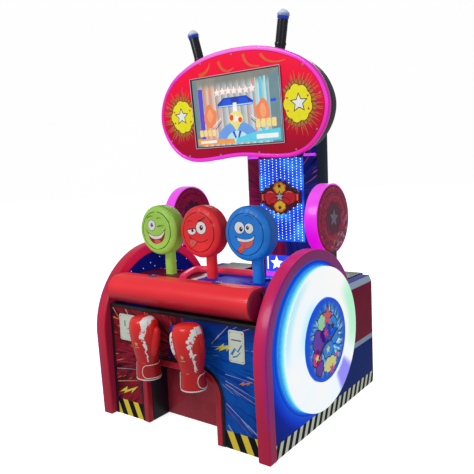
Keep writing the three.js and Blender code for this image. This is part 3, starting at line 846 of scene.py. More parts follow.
def ring_material():
    g = Graph("ring_white")
    angle, far = g.turn(g.y, g.z, in_metres(*RING))
    ragged = g.vary(140, 2, 0.014, g.less(far, 0.007))
    tone = g.mix(g.rise(g.noise(3.2, 2), 0.45, 0.7), "f8f6f4", "ecf6fc")
    turned_rear = g.rise(g.math("COSINE", g.scaled(angle, math.tau, -0.25)), 0.72, 0.98)
    tone = g.mix(g.times(g.times(turned_rear, 0.9), g.rise(ragged, 0.20, 0.27)), tone, "a4efc4")
    violet = g.rise(g.math("COSINE", g.scaled(angle, math.tau, 0.87)), 0.955, 0.99)
    tone = g.mix(g.times(violet, g.rise(ragged, 0.20, 0.225)), tone, "8d86f6")
    upper = g.rise(g.math("COSINE", g.scaled(angle, math.tau, -2.6)), 0.75, 1.0)
    tone = g.mix(g.times(g.times(upper, 0.8), g.opposite(g.rise(ragged, 0.195, 0.25))), tone, "b5ecf6")
    outer_cyan = g.times(g.times(upper, 0.75), g.rise(ragged, 0.285, 0.335))
    tone = g.mix(outer_cyan, tone, "8fe2f2")
    stand = g.less(g.vary(110, 2, 0.008, g.math("ABSOLUTE", g.x)), 0.498)
    glow = g.ramp(g.over(stand, 0.04), [(0.0, "1c60d8"), (0.3, "2c9ce8"), (0.55, "58d4f0"), (0.8, "b0f0f8"),
                                        (1.0, "fcffff")])
    tone = g.mix(g.times(g.rise(far, 0.3, 0.32), g.opposite(g.rise(stand, 0.039, 0.040))), tone, glow)
    return g.surface("3a4048", 0.35, coat=0.0, glow=tone, strength=0.97, specular=0.1)


def disc_material():
    g = Graph("disc_print")
    angle, far = g.turn(g.y, g.z, in_metres(*RING))
    rays = g.noise(7, 3, g.around(angle, far, 1.5), 0.7)
    inner = g.ramp(rays, [(0.30, "0648c8"), (0.44, "1476e0"), (0.53, "48b8f0"), (0.60, "d4f6ff")])
    tone = g.mix(g.rise(far, 0.10, 0.176), inner, "0650d4")
    # painted light: the disc print glows
    return g.surface(tone, 0.35, coat=0.05, glow=tone, strength=0.45, specular=0.12)


def ring_lights():
    white, disc, edge = ring_material(), disc_material(), lamp("ring_edge", "58c0f4", "2c84e8", 0.6)
    # the art inks glow faintly too, painted light
    inks = ([disc] + ink_set("art", dark="12204a", purple=("6a35b8", 0.25), pink=("e0349c", 0.25),
                             blue=("2c8ff0", 0.25), yellow=("e6e48a", 0.3), coral=("e8566c", 0.25),
                             mint=("9fe4b8", 0.3), teal=("1c6a8c", 0.2)))
    for side, word in SIDES:
        place = on_side(side, PANEL_OUTER + 0.3, *RING)
        inner, outer, stand = RING_HOLE + 1, RING_RADIUS - 0.5, RING_STAND - 0.3
        profile = [(inner, 0), (outer, 0)] + [(r, h) for r, h in arc((outer - 15, stand - 15), 15, 0, 90, 8)]
        profile += [(inner + 6, stand)] + arc((inner + 4, stand - 4), 4, 90, 180, 4)
        Piece().lathe(profile, 160, place, closed=True).done("ring_glow_" + word, white,
                                                             instead="ring_light_" + word, slot="ring_glow")
        disc_piece = Piece()
        disc_piece.lathe([(0, 0), (RING_HOLE - 0.6, 0), (RING_HOLE - 0.6, 50)]
                         + arc((RING_HOLE - 5, 53), 4, 0, 90, 5) + [(0, 57)], 128, place)
        face = on_side(side, PANEL_OUTER + 57.3, *RING, flip=side)
        for loop, colour, lift in disc_art():
            disc_piece.flat(moved(loop, 0, 0, DISC_ART_SCALE), face, colour, lift)
        disc_piece.done("ring_face_" + word, inks, instead="ring_disc_" + word, slot="disc_art")
        trim = [place(*polar(math.tau * i / 120, RING_RADIUS + 1.2), 3) for i in range(120)]
        Piece().tube(trim, 3.0, closed=True, steps=8).done("ring_strip_" + word, edge)


def disc_art():
    """The print inside a ring light: a burst, plain clouds and stars, each (outline, ink, lift)."""
    shapes = [(star(2, -2, 150, 112, 26), 8, 0.3), (star(0, 0, 143, 104, 26, 93), 0, 0.5)]
    clouds = [
        (splat(-62, 8, 54, 7, 0.14, 3), 2), (splat(-86, -50, 34, 6, 0.16, 5), 3),
        (splat(-12, 34, 46, 7, 0.12, 8), 2), (splat(44, 44, 42, 7, 0.14, 9), 4),
        (splat(6, -36, 44, 7, 0.15, 12), 4), (splat(62, 2, 34, 6, 0.14, 14), 4),
        (splat(-66, -96, 30, 6, 0.12, 15), 2),
    ]
    shapes += [(inset(loop, -5), 1, 0.7) for loop, _ in clouds]
    shapes += [(loop, colour, 0.9) for loop, colour in clouds]
    shapes.append((stroke([(-92, -72), (-30, -14), (30, -6), (86, 22)], 13, 0.7), 1, 1.0))
    for loop, colour, lift in ((star(4, 92, 42, 20, 5, 80), 6, 0.7), (splat(-44, 78, 32, 6, 0.2, 21), 7, 0.9),
                               (splat(20, -104, 56, 8, 0.2, 23, 0.55), 5, 0.9)):
        shapes += [(inset(loop, -4), 1, lift), (loop, colour, 1.1)]
    for u, v, outer, inner, start, colour in (
            (34, -128, 26, 11, 70, 6), (78, -82, 18, 8, 100, 6), (-12, 30, 22, 10, 100, 3),
            (46, 44, 20, 9, 80, 1), (4, -40, 18, 8, 90, 5), (-86, -50, 18, 8, 96, 5)):
        shapes.append((star(u, v, outer, inner, 5, start), colour, 1.3))
    return shapes


def sides():
    for side, word in SIDES:
        material = rim_material("rim_red_" + word, side)
        outline = ([(0, 0)] + arch_line(ARCH_RADIUS) + arch_line(ARCH_RADIUS - RIM_BAND)[::-1]
                   + [(RIM_BAND, 0)])
        place = on_side(side, 0)
        rim = Piece().slab([outline], RIM_INNER, RIM_OUTER, place, edge=7, steps=4)
        rim.done("rim_" + word, material, instead="side_rim_" + word, slot="rim_red")
        refine("side_core_" + word, panel_material("side_print_and_halo_" + word), 2.0)
    # small lights and a round boss on the inner faces, beside the targets
    light, boss = lamp("side_dots", "dce8ff", "a8c0ff", 1.0), paint("boss_teal", "1f7fae", 0.25, 0.5)
    for side, word in SIDES:
        place = on_side(side, RIM_INNER + 6, out=-1)
        rows = [(u, 690) for u in range(190, 700, 85)] + [(210, 742), (292, 770), (400, 735), (330, 712)]
        Piece().dots(rows, 2.8, place).done("side_lights_" + word, light)
        profile = [(0, 0), (24, 0), (24, 3)] + arc((20, 3), 4, 0, 90, 4) + [(14, 7), (12, 5), (0, 5)]
        on_rim = on_side(side, RIM_INNER, 530, 768, out=-1)
        Piece().lathe(profile, 32, on_rim).done("rim_boss_" + word, boss)


# ---- front ----
def recess_line(grow, steps=16, foot=0.0):
    half, top, corner = RECESS_HALF + grow, RECESS_TOP + grow, RECESS_CORNER + grow
    return ([(half, foot)] + arc((half - corner, top - corner), corner, 0, 90, steps)
            + arc((corner - half, top - corner), corner, 90, 180, steps) + [(-half, foot)])


def front_material():
    g = Graph("front_print")
    angle, far = g.turn(g.x, g.z, (0.01, 0.40))
    streaks = g.noise(9, 3, g.around(angle, far, 0.5), 0.72)
    fine = g.noise(26, 2, g.around(angle, far, 0.2), 0.6)
    red = g.ramp(streaks, [(0.30, "220a1e"), (0.42, "50101e"), (0.50, "7c1626"), (0.57, "941c30"),
                           (0.68, "300e28")])
    red = g.mix(g.rise(fine, 0.65, 0.68), red, "d87a4c")
    blue = g.ramp(streaks, [(0.28, "042470"), (0.40, "033c9c"), (0.50, "0454b0"), (0.58, "0444a4"),
                            (0.70, "062a7c")])
    blue = g.mix(g.rise(g.z, 0.42, 0.56), blue, g.blend(12, 2, "051e64", "062878"))
    blue = g.mix(g.rise(fine, 0.66, 0.69), blue, "8f9ccc")
    middle = g.blend(11, 4, "15103c", "3a1560")
    half = g.rise(g.plus(g.x, g.times(g.less(g.noise(6, 3), 0.5), 0.16)), 0.035, 0.065)
    tone = g.mix(half, red, blue)
    tone = g.mix(g.opposite(g.rise(g.vary(18, 3, 0.06, far), 0.09, 0.12)), tone, middle)
    slant = g.math("FRACT", g.over(g.plus(g.x, g.times(g.z, 0.42)), 0.072))
    stripes = g.mix(g.inside(slant, 0.03, 0.52, 0.015), "10161f", "e6cb3c")
    tone = g.mix(g.opposite(g.rise(g.z, 0.0785, 0.0795)), tone, stripes)
    tone = g.mix(g.rise(g.z, 0.548, 0.552), tone, "0c0c14")
    # the board glows faintly, painted light
    return g.surface(tone, 0.45, coat=0.03, glow=tone, strength=0.06, specular=0.08)


def front():
    refine("front_board", front_material(), 1.0)
    black = paint("trim_black", "101318", 0.42, 0.15)
    refine("front_trim", black, 2.5)
    refine("recess_liner", paint("liner_black", "0d1020", 0.5, 0.1), 1.5)
    red = paint("band_red", "c01a30", 0.32, 0.2)
    arch, inner = recess_line(29), recess_line(0)
    band = Piece().slab([arch + inner[::-1]], 0, 32, on_front(58), edge=4)
    band.done("recess_edging", red, instead="recess_band", slot="band_red")
    refine("recess_back", paint("recess_red", "b02236", 0.45, 0.1, vary=0.2), 1.0)

    # bolts, streaks and a burst printed on the board
    inks = [ink("bolt_yellow", "ecd83a"), ink("bolt_orange", "e8843a"), ink("streak_peach", "e7a488"),
            ink("streak_pale", "b9c4e6"), ink("burst_magenta", "c22a78"), ink("burst_dark", "140d2c"),
            ink("burst_blue", "2448c8"), ink("burst_white", "dfe4f2")]
    place, print_piece = on_front(FRONT_FACE), Piece()
    for bolt, u, v, scale, colour, lift in (
            (BOLT, -410, 112, 1.35, 0, 0.5), (BOLT, 218, 430, 0.95, 1, 0.5),
            (inset(BOLT, 2.5), 218, 430, 0.95, 0, 0.7), (BOLT, 330, 296, 0.7, 1, 0.5)):
        print_piece.flat(moved(bolt, u, v, scale), place, colour, lift)
    for u0, v0, u1, v1, w, colour in (
            (-418, 540, -378, 492, 5, 2), (-330, 540, -300, 500, 6, 2), (-200, 540, -180, 496, 5, 1),
            (-184, 538, -170, 490, 3, 2), (-416, 166, -268, 196, 4, 2), (-416, 232, -266, 252, 2.5, 3),
            (-416, 270, -266, 280, 3, 4), (-416, 330, -262, 326, 2.5, 4), (214, 470, 288, 540, 4, 3),
            (196, 452, 240, 500, 3, 2), (290, 500, 416, 552, 3, 2), (262, 300, 416, 252, 2.5, 3),
            (262, 286, 416, 228, 3.5, 2), (262, 200, 416, 96, 3, 3), (262, 180, 380, 84, 2.5, 4),
            (262, 330, 416, 318, 2, 3)):
        print_piece.flat(bar(u0, v0, u1, v1, w, w * 0.35), place, colour, 0.35)
    for loop, colour, lift in (
            (splat(8, 452, 62, 9, 0.3, 31, 1.1), 5, 0.3), (splat(-18, 478, 30, 7, 0.3, 32), 6, 0.5),
            (splat(30, 428, 28, 7, 0.3, 33), 4, 0.5), (star(2, 456, 26, 11, 5, 82), 7, 0.7),
            (splat(-26, 420, 18, 6, 0.3, 34), 4, 0.6)):
        print_piece.flat(loop, place, colour, lift)
    print_piece.done("front_graphics", inks)

    # card plates with their screws
    pale = paint("plate_pale", "dfe9d8", 0.35, 0.3, vary=0.06)
    marks = [pale, ink("plate_mark", "3a4a5a"), ink("plate_blue", "2f7cba"), ink("plate_line", "a9b8b0")]
    for word, (u0, v0, u1, v1) in (("left", (-372, 388, -262, 517)), ("right", (290, 390, 370, 528))):
        plate = Piece().slab([rounded(u0, v0, u1, v1, 9)], 0.4, 4.2, place, edge=0.8, steps=2)
        mu, mv = (u0 + u1) / 2, (v0 + v1) / 2
        plate.flat(inset(rounded(u0, v0, u1, v1, 9), 7), place, 3, 4.35,
                   hole=inset(rounded(u0, v0, u1, v1, 9), 8))
        if word == "right":
            plate.flat(rounded(mu - 26, mv + 26, mu + 26, mv + 31, 2), place, 1, 4.4)
            plate.flat(stroke([(mu - 26, mv - 36), (mu - 8, mv - 8), (mu + 6, mv - 20), (mu + 28, mv + 12)],
                              11, 0.5), place, 2, 4.4)
            plate.flat(stroke([(mu - 20, mv - 46), (mu, mv - 40), (mu + 20, mv - 20)], 7, 0.5), place, 2, 4.4)
        else:
            plate.flat(rounded(mu - 20, mv + 6, mu - 14, mv + 34, 2), place, 1, 4.4)
            plate.flat(stroke([(mu - 2, mv - 8), (mu + 12, mv + 2), (mu + 16, mv + 20)], 4, 0.6), place, 1,
                       4.4)
            plate.flat(rounded(mu - 8, mv - 30, mu + 26, mv - 26, 1.5), place, 3, 4.4)
        plate.done("card_face_" + word, marks, instead="card_plate_" + word, slot="plate_pale")
        screws([place(u, v, 4.2) for u in (u0 + 9, u1 - 9) for v in (v0 + 9, v1 - 9)], (0, -1, 0), 3.4,
               "card_screws_" + word)


def steel():
    return bpy.data.materials.get("screw_steel") or metal("screw_steel", "9aa0aa", "c9ced6", (300, 2), 0.3)


def screws(points, outward, radius, name, body="cabinet", material=None):
    """Domed screw heads with a cross recess, all in one piece."""
    out = Vector(outward).normalized()
    side = out.orthogonal().normalized()
    other = out.cross(side)
    piece = Piece()
    for p in points:
        place = lambda u, v, h, p=p: p + (side * u + other * v + out * h) / 1000
        piece.lathe([(0, -0.2), (radius, -0.2), (radius, 0.25 * radius), (radius * 0.72, 0.5 * radius),
                     (0, 0.6 * radius)], 14, place)
        piece.flat(bar(-radius * 0.5, 0, radius * 0.5, 0, radius * 0.22), place, 1, 0.63 * radius)
        piece.flat(bar(0, -radius * 0.5, 0, radius * 0.5, radius * 0.22), place, 1, 0.64 * radius)
    dark = bpy.data.materials.get("screw_slot") or ink("screw_slot", "22262c")
    return piece.done(name, [material or steel(), dark], body)


# ---- padded roll and buttons ----
def roll():
    depth, height = ROLL_CENTRE
    section = arc((depth, height), ROLL_RADIUS - 1.5, 90, 270, 28)
    section += arc((ROLL_BACK - 9.5, height - ROLL_RADIUS + 9.5), 8, 270, 360, 4)
    section += arc((ROLL_BACK - 9.5, height + ROLL_RADIUS - 9.5), 8, 0, 90, 4)
    half = ROLL_HALF - 2
    body = Piece().slab([section], -half, half, lambda u, v, h: at(h, u, v), edge=9,
                        steps=4).mesh("roll_start")
    soft = inflate(body, voxel=0.006, cap=0.003, pressure=3.0, frames=12)
    g = Graph("roll_vinyl")
    across = g.rise(g.math("ABSOLUTE", g.x), 0.4105, 0.414)
    tone = g.blend(7, 3, "ea2230", "f83038")
    # painted shade: the roll is darker below its middle than on its top
    tone = g.mix(g.rise(g.z, 0.585, 0.66), g.blend(9, 2, "98142a", "ac1a30"), tone)
    # painted shade: the end caps, which the mask across marks, are a darker crimson
    tone = g.mix(across, tone, "700c2c")
    grain = g.grain(800, 30, 2.0)
    # the cover also glows faintly, painted light
    material = g.surface(tone, g.vary(60, 2, 0.1, 0.34), coat=0.25, glow=tone, strength=0.13,
                         bump=grain, depth=0.00012)
    obj = settle(bpy.data.objects.new("roll_cover", soft), material, instead="front_roll")
    piping = leather("roll_piping", "b81a2c")
    for side in (-1, 1):
        line = [at(side * (half - 7), u, v) for u, v in inset(section, 1.2)[::2]]
        word = "right" if side > 0 else "left"
        Piece().tube(line, 2.2, closed=True, steps=8).done("roll_piping_" + word, piping)
    top = height + ROLL_RADIUS
    ring = paint("bezel_blue", "1b2464", 0.2, 0.6)
    cap = metal("button_metal", "2a3f9a", "5a78d8", (120, 2), 0.18, 0.6, 0.5)
    # painted highlight: each cap's glint is a small glowing disc
    glint = lamp("button_glint", "9fc4ff", "5f84e8", 0.9)
    for side, word in SIDES:
        place = on_top(top, side * BUTTON_X, BUTTON_DEPTH)
        profile = ([(15.4, -38), (19.6, -38), (19.6, 0.2), (25, 0.2)] + arc((23, 1.4), 2.6, -10, 90, 4)
                   + [(17.5, 4.0), (15.4, 2.6)])
        Piece().lathe(profile, 40, place, closed=True).done("button_ring_" + word, ring,
                                                            instead="button_bezel_" + word,
                                                            slot="bezel_blue")
        plunger = ([(0, -36), (14.8, -36), (14.8, 1.4)] + arc((12.4, 1.6), 2.4, 0, 60, 3)
                   + [(8, 5.0), (0, 5.6)])
        button = Piece().lathe(plunger, 40, place)
        button.flat(ellipse(0, 0, 5), place, 1, 6.0)
        button.done("button_cap_" + word, [cap, glint], word + "_button", "button_" + word, "button_blue")


# ---- deck, rail and the hidden works ----
def deck():
    g = Graph("deck_print")
    wander = g.vary(5, 3, 0.16, -0.08)
    across = g.plus(g.x, g.plus(wander, g.times(g.y, 0.25)))
    left = g.blend(12, 3, "4c0c28", "78142e")
    right = g.blend(8, 3, "0824a8", "123cd0")
    tone = g.mix(g.rise(across, -0.135, -0.11), left, "d9dbe6")
    tone = g.mix(g.rise(across, -0.095, -0.075), tone, right)
    tone = g.mix(g.rise(g.z, 0.655, 0.668), "101450", tone)
    # the deck print glows faintly, painted light
    refine("deck", g.surface(tone, 0.42, coat=0.02, glow=tone, strength=0.1, specular=0.08), 2.5)
    rail = Graph("rail_red")
    red = rail.blend(14, 2, "f02c50", "ff4468")
    # the rail glows, painted light
    red = rail.surface(red, 0.3, coat=0.25, glow=red, strength=0.25)
    middle = DECK_TOP + 16.3
    route = [(-104, 199, DECK_TOP + 4), (-116, 232, middle - 4), (-138, 290, middle), (-156, 345, middle),
             (-140, 384, middle), (-80, 397, middle), (36, 396, middle), (150, 394, middle),
             (196, 386, middle), (213, 371, middle - 4), (215, 355, DECK_TOP + 4)]
    line = [at(*p) for p in spline(route, 8)]
    Piece().tube(line, 15.6, steps=24).done("deck_hoop", red, instead="deck_rail", slot="rail_red")
    Piece().dots([(x, 382) for x in range(-420, -215, 30)] + [(x, 382) for x in range(226, 425, 30)], 3.0,
                 on_top(DECK_TOP)
                 ).done("deck_lights", lamp("deck_dots", "ffd9f2", "ff8ad0", 1.4))
    finish_node("well_board", paint("well_navy", "141a3c", 0.5, 0.1))
    finish_node("base_board", paint("base_dark", "24242a", 0.6, 0.0))
    finish_node("pivot_frame", metal("frame_steel", "3c4048", "555962", (80, 3), 0.45, 0.7))
    bright = Graph("arm_steel")
    brushed = bright.noise(60, 2, bright.combine(bright.x, bright.y, bright.times(bright.z, 0.05)))
    arm = bright.surface(bright.mix(brushed, "8b9098", "b6bac2"), 0.3, metal=0.9)
    for word in TARGETS:
        finish_node("arm_" + word, arm)
        finish_node("spring_" + word, arm)
    refine("control_box", paint("box_grey", "8c9096", 0.4, 0.0, metal=0.5), 2.0)


def rear():
    g = Graph("shell_print")
    cover = g.blend(7, 4, "26312f", "5b6b66")
    cover = g.mix(g.rise(g.noise(16, 2), 0.58, 0.62), cover, "7a4a50")
    tone = g.mix(g.rise(g.z, 0.5985, 0.5995), g.blend(9, 2, "14162a", "1b1e36"), cover)
    refine("rear_shell", g.surface(tone, 0.45, coat=0.1), 1.5)
    door = paint("door_dark", "1e2027", 0.5, 0.05)
    refine("rear_door", door, 1.5)
    refine("power_inlet", paint("inlet_black", "101013", 0.45, 0.1), 1.2)
    vents, lock = Piece(), Piece()
    for row in range(9):
        vents.slab([rounded(-90, 300 + row * 12, 60, 305 + row * 12, 2.4)], 0, 1.2, on_back(DOOR_FACE + 0.2))
    vents.done("door_vents", paint("vent_black", "08090c", 0.7, 0.0), "service_door")
    lock.lathe([(0, 0), (10, 0), (10, 3)] + arc((8, 3), 2, 0, 90, 3) + [(3, 4.4), (0, 4.4)], 24,
               on_back(DOOR_FACE, *LOCK))
    slit = bar(LOCK[0] - 2.2, LOCK[1], LOCK[0] + 2.2, LOCK[1], 11)
    lock.flat(slit, on_back(DOOR_FACE + 4), 1, 0.7)
    lock.done("door_lock", [steel(), bpy.data.materials["screw_slot"]], "service_door")
    screws([at(-184, DOOR_FACE + 3, z) for z in (100, 180, 330, 410)], (0, 1, 0), 4, "hinge_screws",
           "service_door")
    screws([at(x, SHELL_FACE, z) for x in (-420, -230, 230, 420) for z in (40, 300, 560)], (0, 1, 0), 4.5,
           "shell_screws")
    pins, body = Piece(), paint("socket_black", "050506", 0.6, 0.0)
    place = on_back(INLET[1], INLET[0], INLET[2])
    pins.flat(rounded(-15, -9, 15, 9, 3), place, 0, 0.2)
    for u in (-7, 0, 7):
        pins.slab([rounded(u - 1, -1 + (4 if u == 0 else -2), u + 1, 3 + (4 if u == 0 else -2), 0.4)], 0.3,
                  2.5, place, 1)
    pins.done("inlet_socket", [body, steel()])


# ---- targets ----
def ring_line(radius, width, steps=72):
    return ellipse(0, 0, radius, steps=steps), ellipse(0, 0, radius - width, steps=steps)


def eye(u, v, r, look=(0, 0), squeeze=1.0):
    white = ellipse(u, v, r, r * squeeze)
    pupil = (u + look[0], v + look[1])
    return [(ellipse(u, v, r + 2.2, r * squeeze + 2.2), "line"), (white, "white"),
            (ellipse(*pupil, r * 0.36, r * 0.40), "line"),
            (ellipse(pupil[0] + r * 0.12, pupil[1] + r * 0.14, r * 0.1), "white")]


def laughing():
    top = spline([(-54, -14), (-30, -24), (0, -28), (30, -20), (57, 2)], 6)
    low = spline([(57, 2), (50, -30), (30, -54), (0, -63), (-26, -58), (-44, -42), (-54, -14)], 6)
    teeth = spline([(53, -10), (30, -34), (0, -42), (-30, -39), (-51, -24)], 6)
    return eye(-30, 25, 24, (2, 2), 1.08) + [
        (grown(top + low[1:-1], 2.4), "line"), (top + low[1:-1], "mouth"), (top + teeth, "white"),
        (ellipse(6, -54, 22, 9), "tongue"),
        (stroke(spline([(8, 20), (24, 25), (54, 26)], 6), 3.6, 0.5), "line"),
        (stroke([(14, 18), (30, 20), (46, 17)], 2.4, 0.5), "line"),
        (stroke(spline([(-56, 62), (-40, 71), (-18, 70)], 6), 4.5, 0.4), "line"),
        (stroke([(8, 60), (20, 64), (34, 60)], 4.5, 0.4), "line"),
        (stroke([(-68, 4), (-62, -8), (-52, -16)], 2.6, 0.8), "line"),
        (stroke([(64, 12), (58, 4), (50, 0)], 2.6, 0.8), "line")]


def smirking():
    tongue = spline([(-44, -32), (-54, -48), (-48, -64), (-34, -70), (-22, -60), (-8, -42)], 6)
    lid = [(-66, 26), (-66, 12), (-12, 19), (-12, 34)]
    return [(ellipse(-38, 5, 26, 19), "line"), (ellipse(-38, 5, 24, 17), "white"),
            (ellipse(-33, 7, 7, 7), "line"), (lid, "skin"),
            (bar(-66, 11, -10, 19, 5, 4), "line")] + eye(19, 21, 29, (2, 1), 0.98) + [
        (stroke(spline([(4, 54), (22, 58), (46, 72)], 6), 6, 0.5), "line"),
        (stroke([(-62, 48), (-46, 54), (-34, 48)], 3, 0.6), "line"),
        (stroke(spline([(-54, -20), (-32, -36), (0, -45), (34, -41), (58, -30)], 6), 3.4, 0.7), "line"),
        (grown(tongue, 2), "line"), (tongue, "tongue"),
        (stroke([(-30, -42), (-36, -58)], 1.8, 0.5), "mouth")]


def grinning():
    smile = spline([(-44, -18), (0, -23), (30, -17), (48, -6)], 6)
    teeth = spline([(44, -20), (20, -31), (-10, -34), (-40, -30)], 6)
    tongue = spline([(-30, -30), (36, -24), (36, -42), (18, -58), (-2, -62), (-12, -76), (-28, -84),
                     (-42, -76), (-36, -58), (-22, -50)], 5, True)
    return eye(-30, 28, 26, (8, -6)) + eye(21, 26, 22, (-8, 3)) + [
        (grown(tongue, 2), "line"), (tongue, "tongue"),
        (stroke(spline([(-2, -38), (-8, -56), (-22, -72)], 5), 2.2, 0.5), "mouth"),
        (grown(smile + teeth, 2), "line"), (smile + teeth, "white"),
        (stroke(spline([(2, 80), (22, 82), (42, 70)], 6), 2.6, 0.5), "line"),
        (stroke([(-56, -14), (-50, -10), (-42, -14)], 2.4, 0.6), "line")]


def targets():
    round_edge = 26
    radius, thick = PAD_RADIUS - 2.0, PAD_THICK - 3
    profile = ([(0, 0), (radius * 0.4, 0), (radius * 0.75, 0)]
               + arc((radius - round_edge, round_edge), round_edge, 270, 360, 8))
    profile += (arc((radius - round_edge, thick - round_edge), round_edge, 0, 90, 8)
                + [(radius * 0.6, thick), (radius * 0.3, thick), (0, thick)])
    front = PAD_FRONT + 1.6
    start = Piece().lathe(profile, 72, on_back(front, height=PAD_HEIGHT)).mesh("pad_start")
    pad = inflate(start, voxel=0.005, cap=0.0025, pressure=4.0)
    tree = surface_of(pad)
    looks = {"left": ("98cc4c", "aedc62", "2f7a1e", laughing()),
             "middle": ("e2202c", "f43a3c", "4a0a14", smirking()),
             "right": ("1470d2", "1f8ae6", "062c66", grinning())}
    shared = {"white": ink("face_white", "f4f6f6"), "mouth": ink("face_mouth", "a81c2a"),
              "tongue": ink("face_tongue", "f0655e")}
    for word, x in TARGETS.items():
        colour, light, line, face = looks[word]
        g = Graph("pad_vinyl_" + word)
        # painted shade: the pad's front face is lighter and its sides and back darker
        tone = g.mix(g.rise(g.facing(1), -0.9, -0.2), g.blend(9, 2, colour, light),
                     g.blend(6, 3, shade(colour, -0.12), colour))
        # below 0.8 m, on the sleeves, painted shade tints the vinyl darker and a painted glow lifts it; the
        # rest glows faintly too
        low = g.opposite(g.rise(g.z, 0.80, 0.9))
        tone = g.mix(g.times(low, 0.15), tone, shade(colour, -0.45))
        grain = g.grain(900, 45, 1.6)
        vinyl = g.surface(tone, g.vary(70, 2, 0.12, 0.4), coat=0.12, glow=tone,
                          strength=g.scaled(low, 0.3, 0.03), bump=grain, depth=0.00015)
        mesh = pad.copy()
        mesh.transform(Matrix.Translation((x / 1000, 0, 0)))
        body = word + "_target"
        slot = "pad_" + PAD_COLOURS[word]
        cover = settle(bpy.data.objects.new("pad_cover_" + word, mesh), vinyl, body, "target_" + word)
        # the padded sleeve round the arm, with its seam
        foot = DECK_TOP - 25
        sleeve_profile = [(15.5, foot), (STALK_RADIUS - 3, foot), (STALK_RADIUS - 1.2, foot + 2)]
        sleeve_profile += [(STALK_RADIUS - 0.6 + 1.0 * math.sin(k * 1.9) * (k % 3 == 1), foot + 8 + k * 12)
                           for k in range(11)]
        sleeve_profile += [(STALK_RADIUS + 2.0, PAD_HEIGHT - PAD_RADIUS + 12),
                           (STALK_RADIUS + 1, PAD_HEIGHT - 60), (15.5, PAD_HEIGHT - 60)]
        column = Piece().lathe(sleeve_profile, 40, on_top(0, x, STALK_DEPTH), closed=True)
        sleeve = column.done("sleeve_" + word, vinyl, body, slot=slot)
        seam = [at(x + STALK_RADIUS * 0.2, STALK_DEPTH + STALK_RADIUS * 0.985, z)
                for z in range(foot + 6, 790, 12)]
        Piece().tube(seam, 1.3, steps=6).done("sleeve_seam_" + word,
                                              leather("seam_" + word, shade(colour, -0.3)), body)
        for back, at_depth in ((0, PAD_FRONT + 20), (1, PAD_FRONT + PAD_THICK - 20)):
            ring = [polar(math.tau * i / 96, PAD_RADIUS - 0.2, centre=(x, PAD_HEIGHT)) for i in range(96)]
            points = []
            for p in [at(u, at_depth, v) for u, v in ring]:
                centre = Vector((0, p.y, PAD_HEIGHT / 1000))
                local = Vector((p.x - x / 1000, p.y, p.z))
                inward = (centre - local).normalized()
                points.append(laid_on(tree, local - inward * 0.05, inward, -0.5) + Vector((x / 1000, 0, 0)))
            Piece().tube(points, 1.1, steps=6, closed=True).done(f"pad_seam_{word}_{back}",
                                                                 bpy.data.materials["seam_" + word], body)
        # the printed face, laid on the crowned front
        inks = [ink("face_line_" + word, line if word != "left" else "23521a"), shared["white"],
                shared["mouth"], shared["tongue"], ink("face_skin_" + word, light)]
        order = {"line": 0, "white": 1, "mouth": 2, "tongue": 3, "skin": 4}

        def on_pad(u, v, h, x=x):
            start = at(u, PAD_FRONT - 60, PAD_HEIGHT + v)
            return laid_on(tree, start, Vector((0, 1, 0)), h) + Vector((x / 1000, 0, 0))

        prints = Piece()
        outer, inner = ring_line(94, 3.6)
        prints.flat(outer, on_pad, 0, 0.45, hole=inner)
        for i, (loop, colour_name) in enumerate(face):
            prints.flat(loop, on_pad, order[colour_name], 0.5 + 0.07 * i)
        prints.done("face_" + word, inks, body)


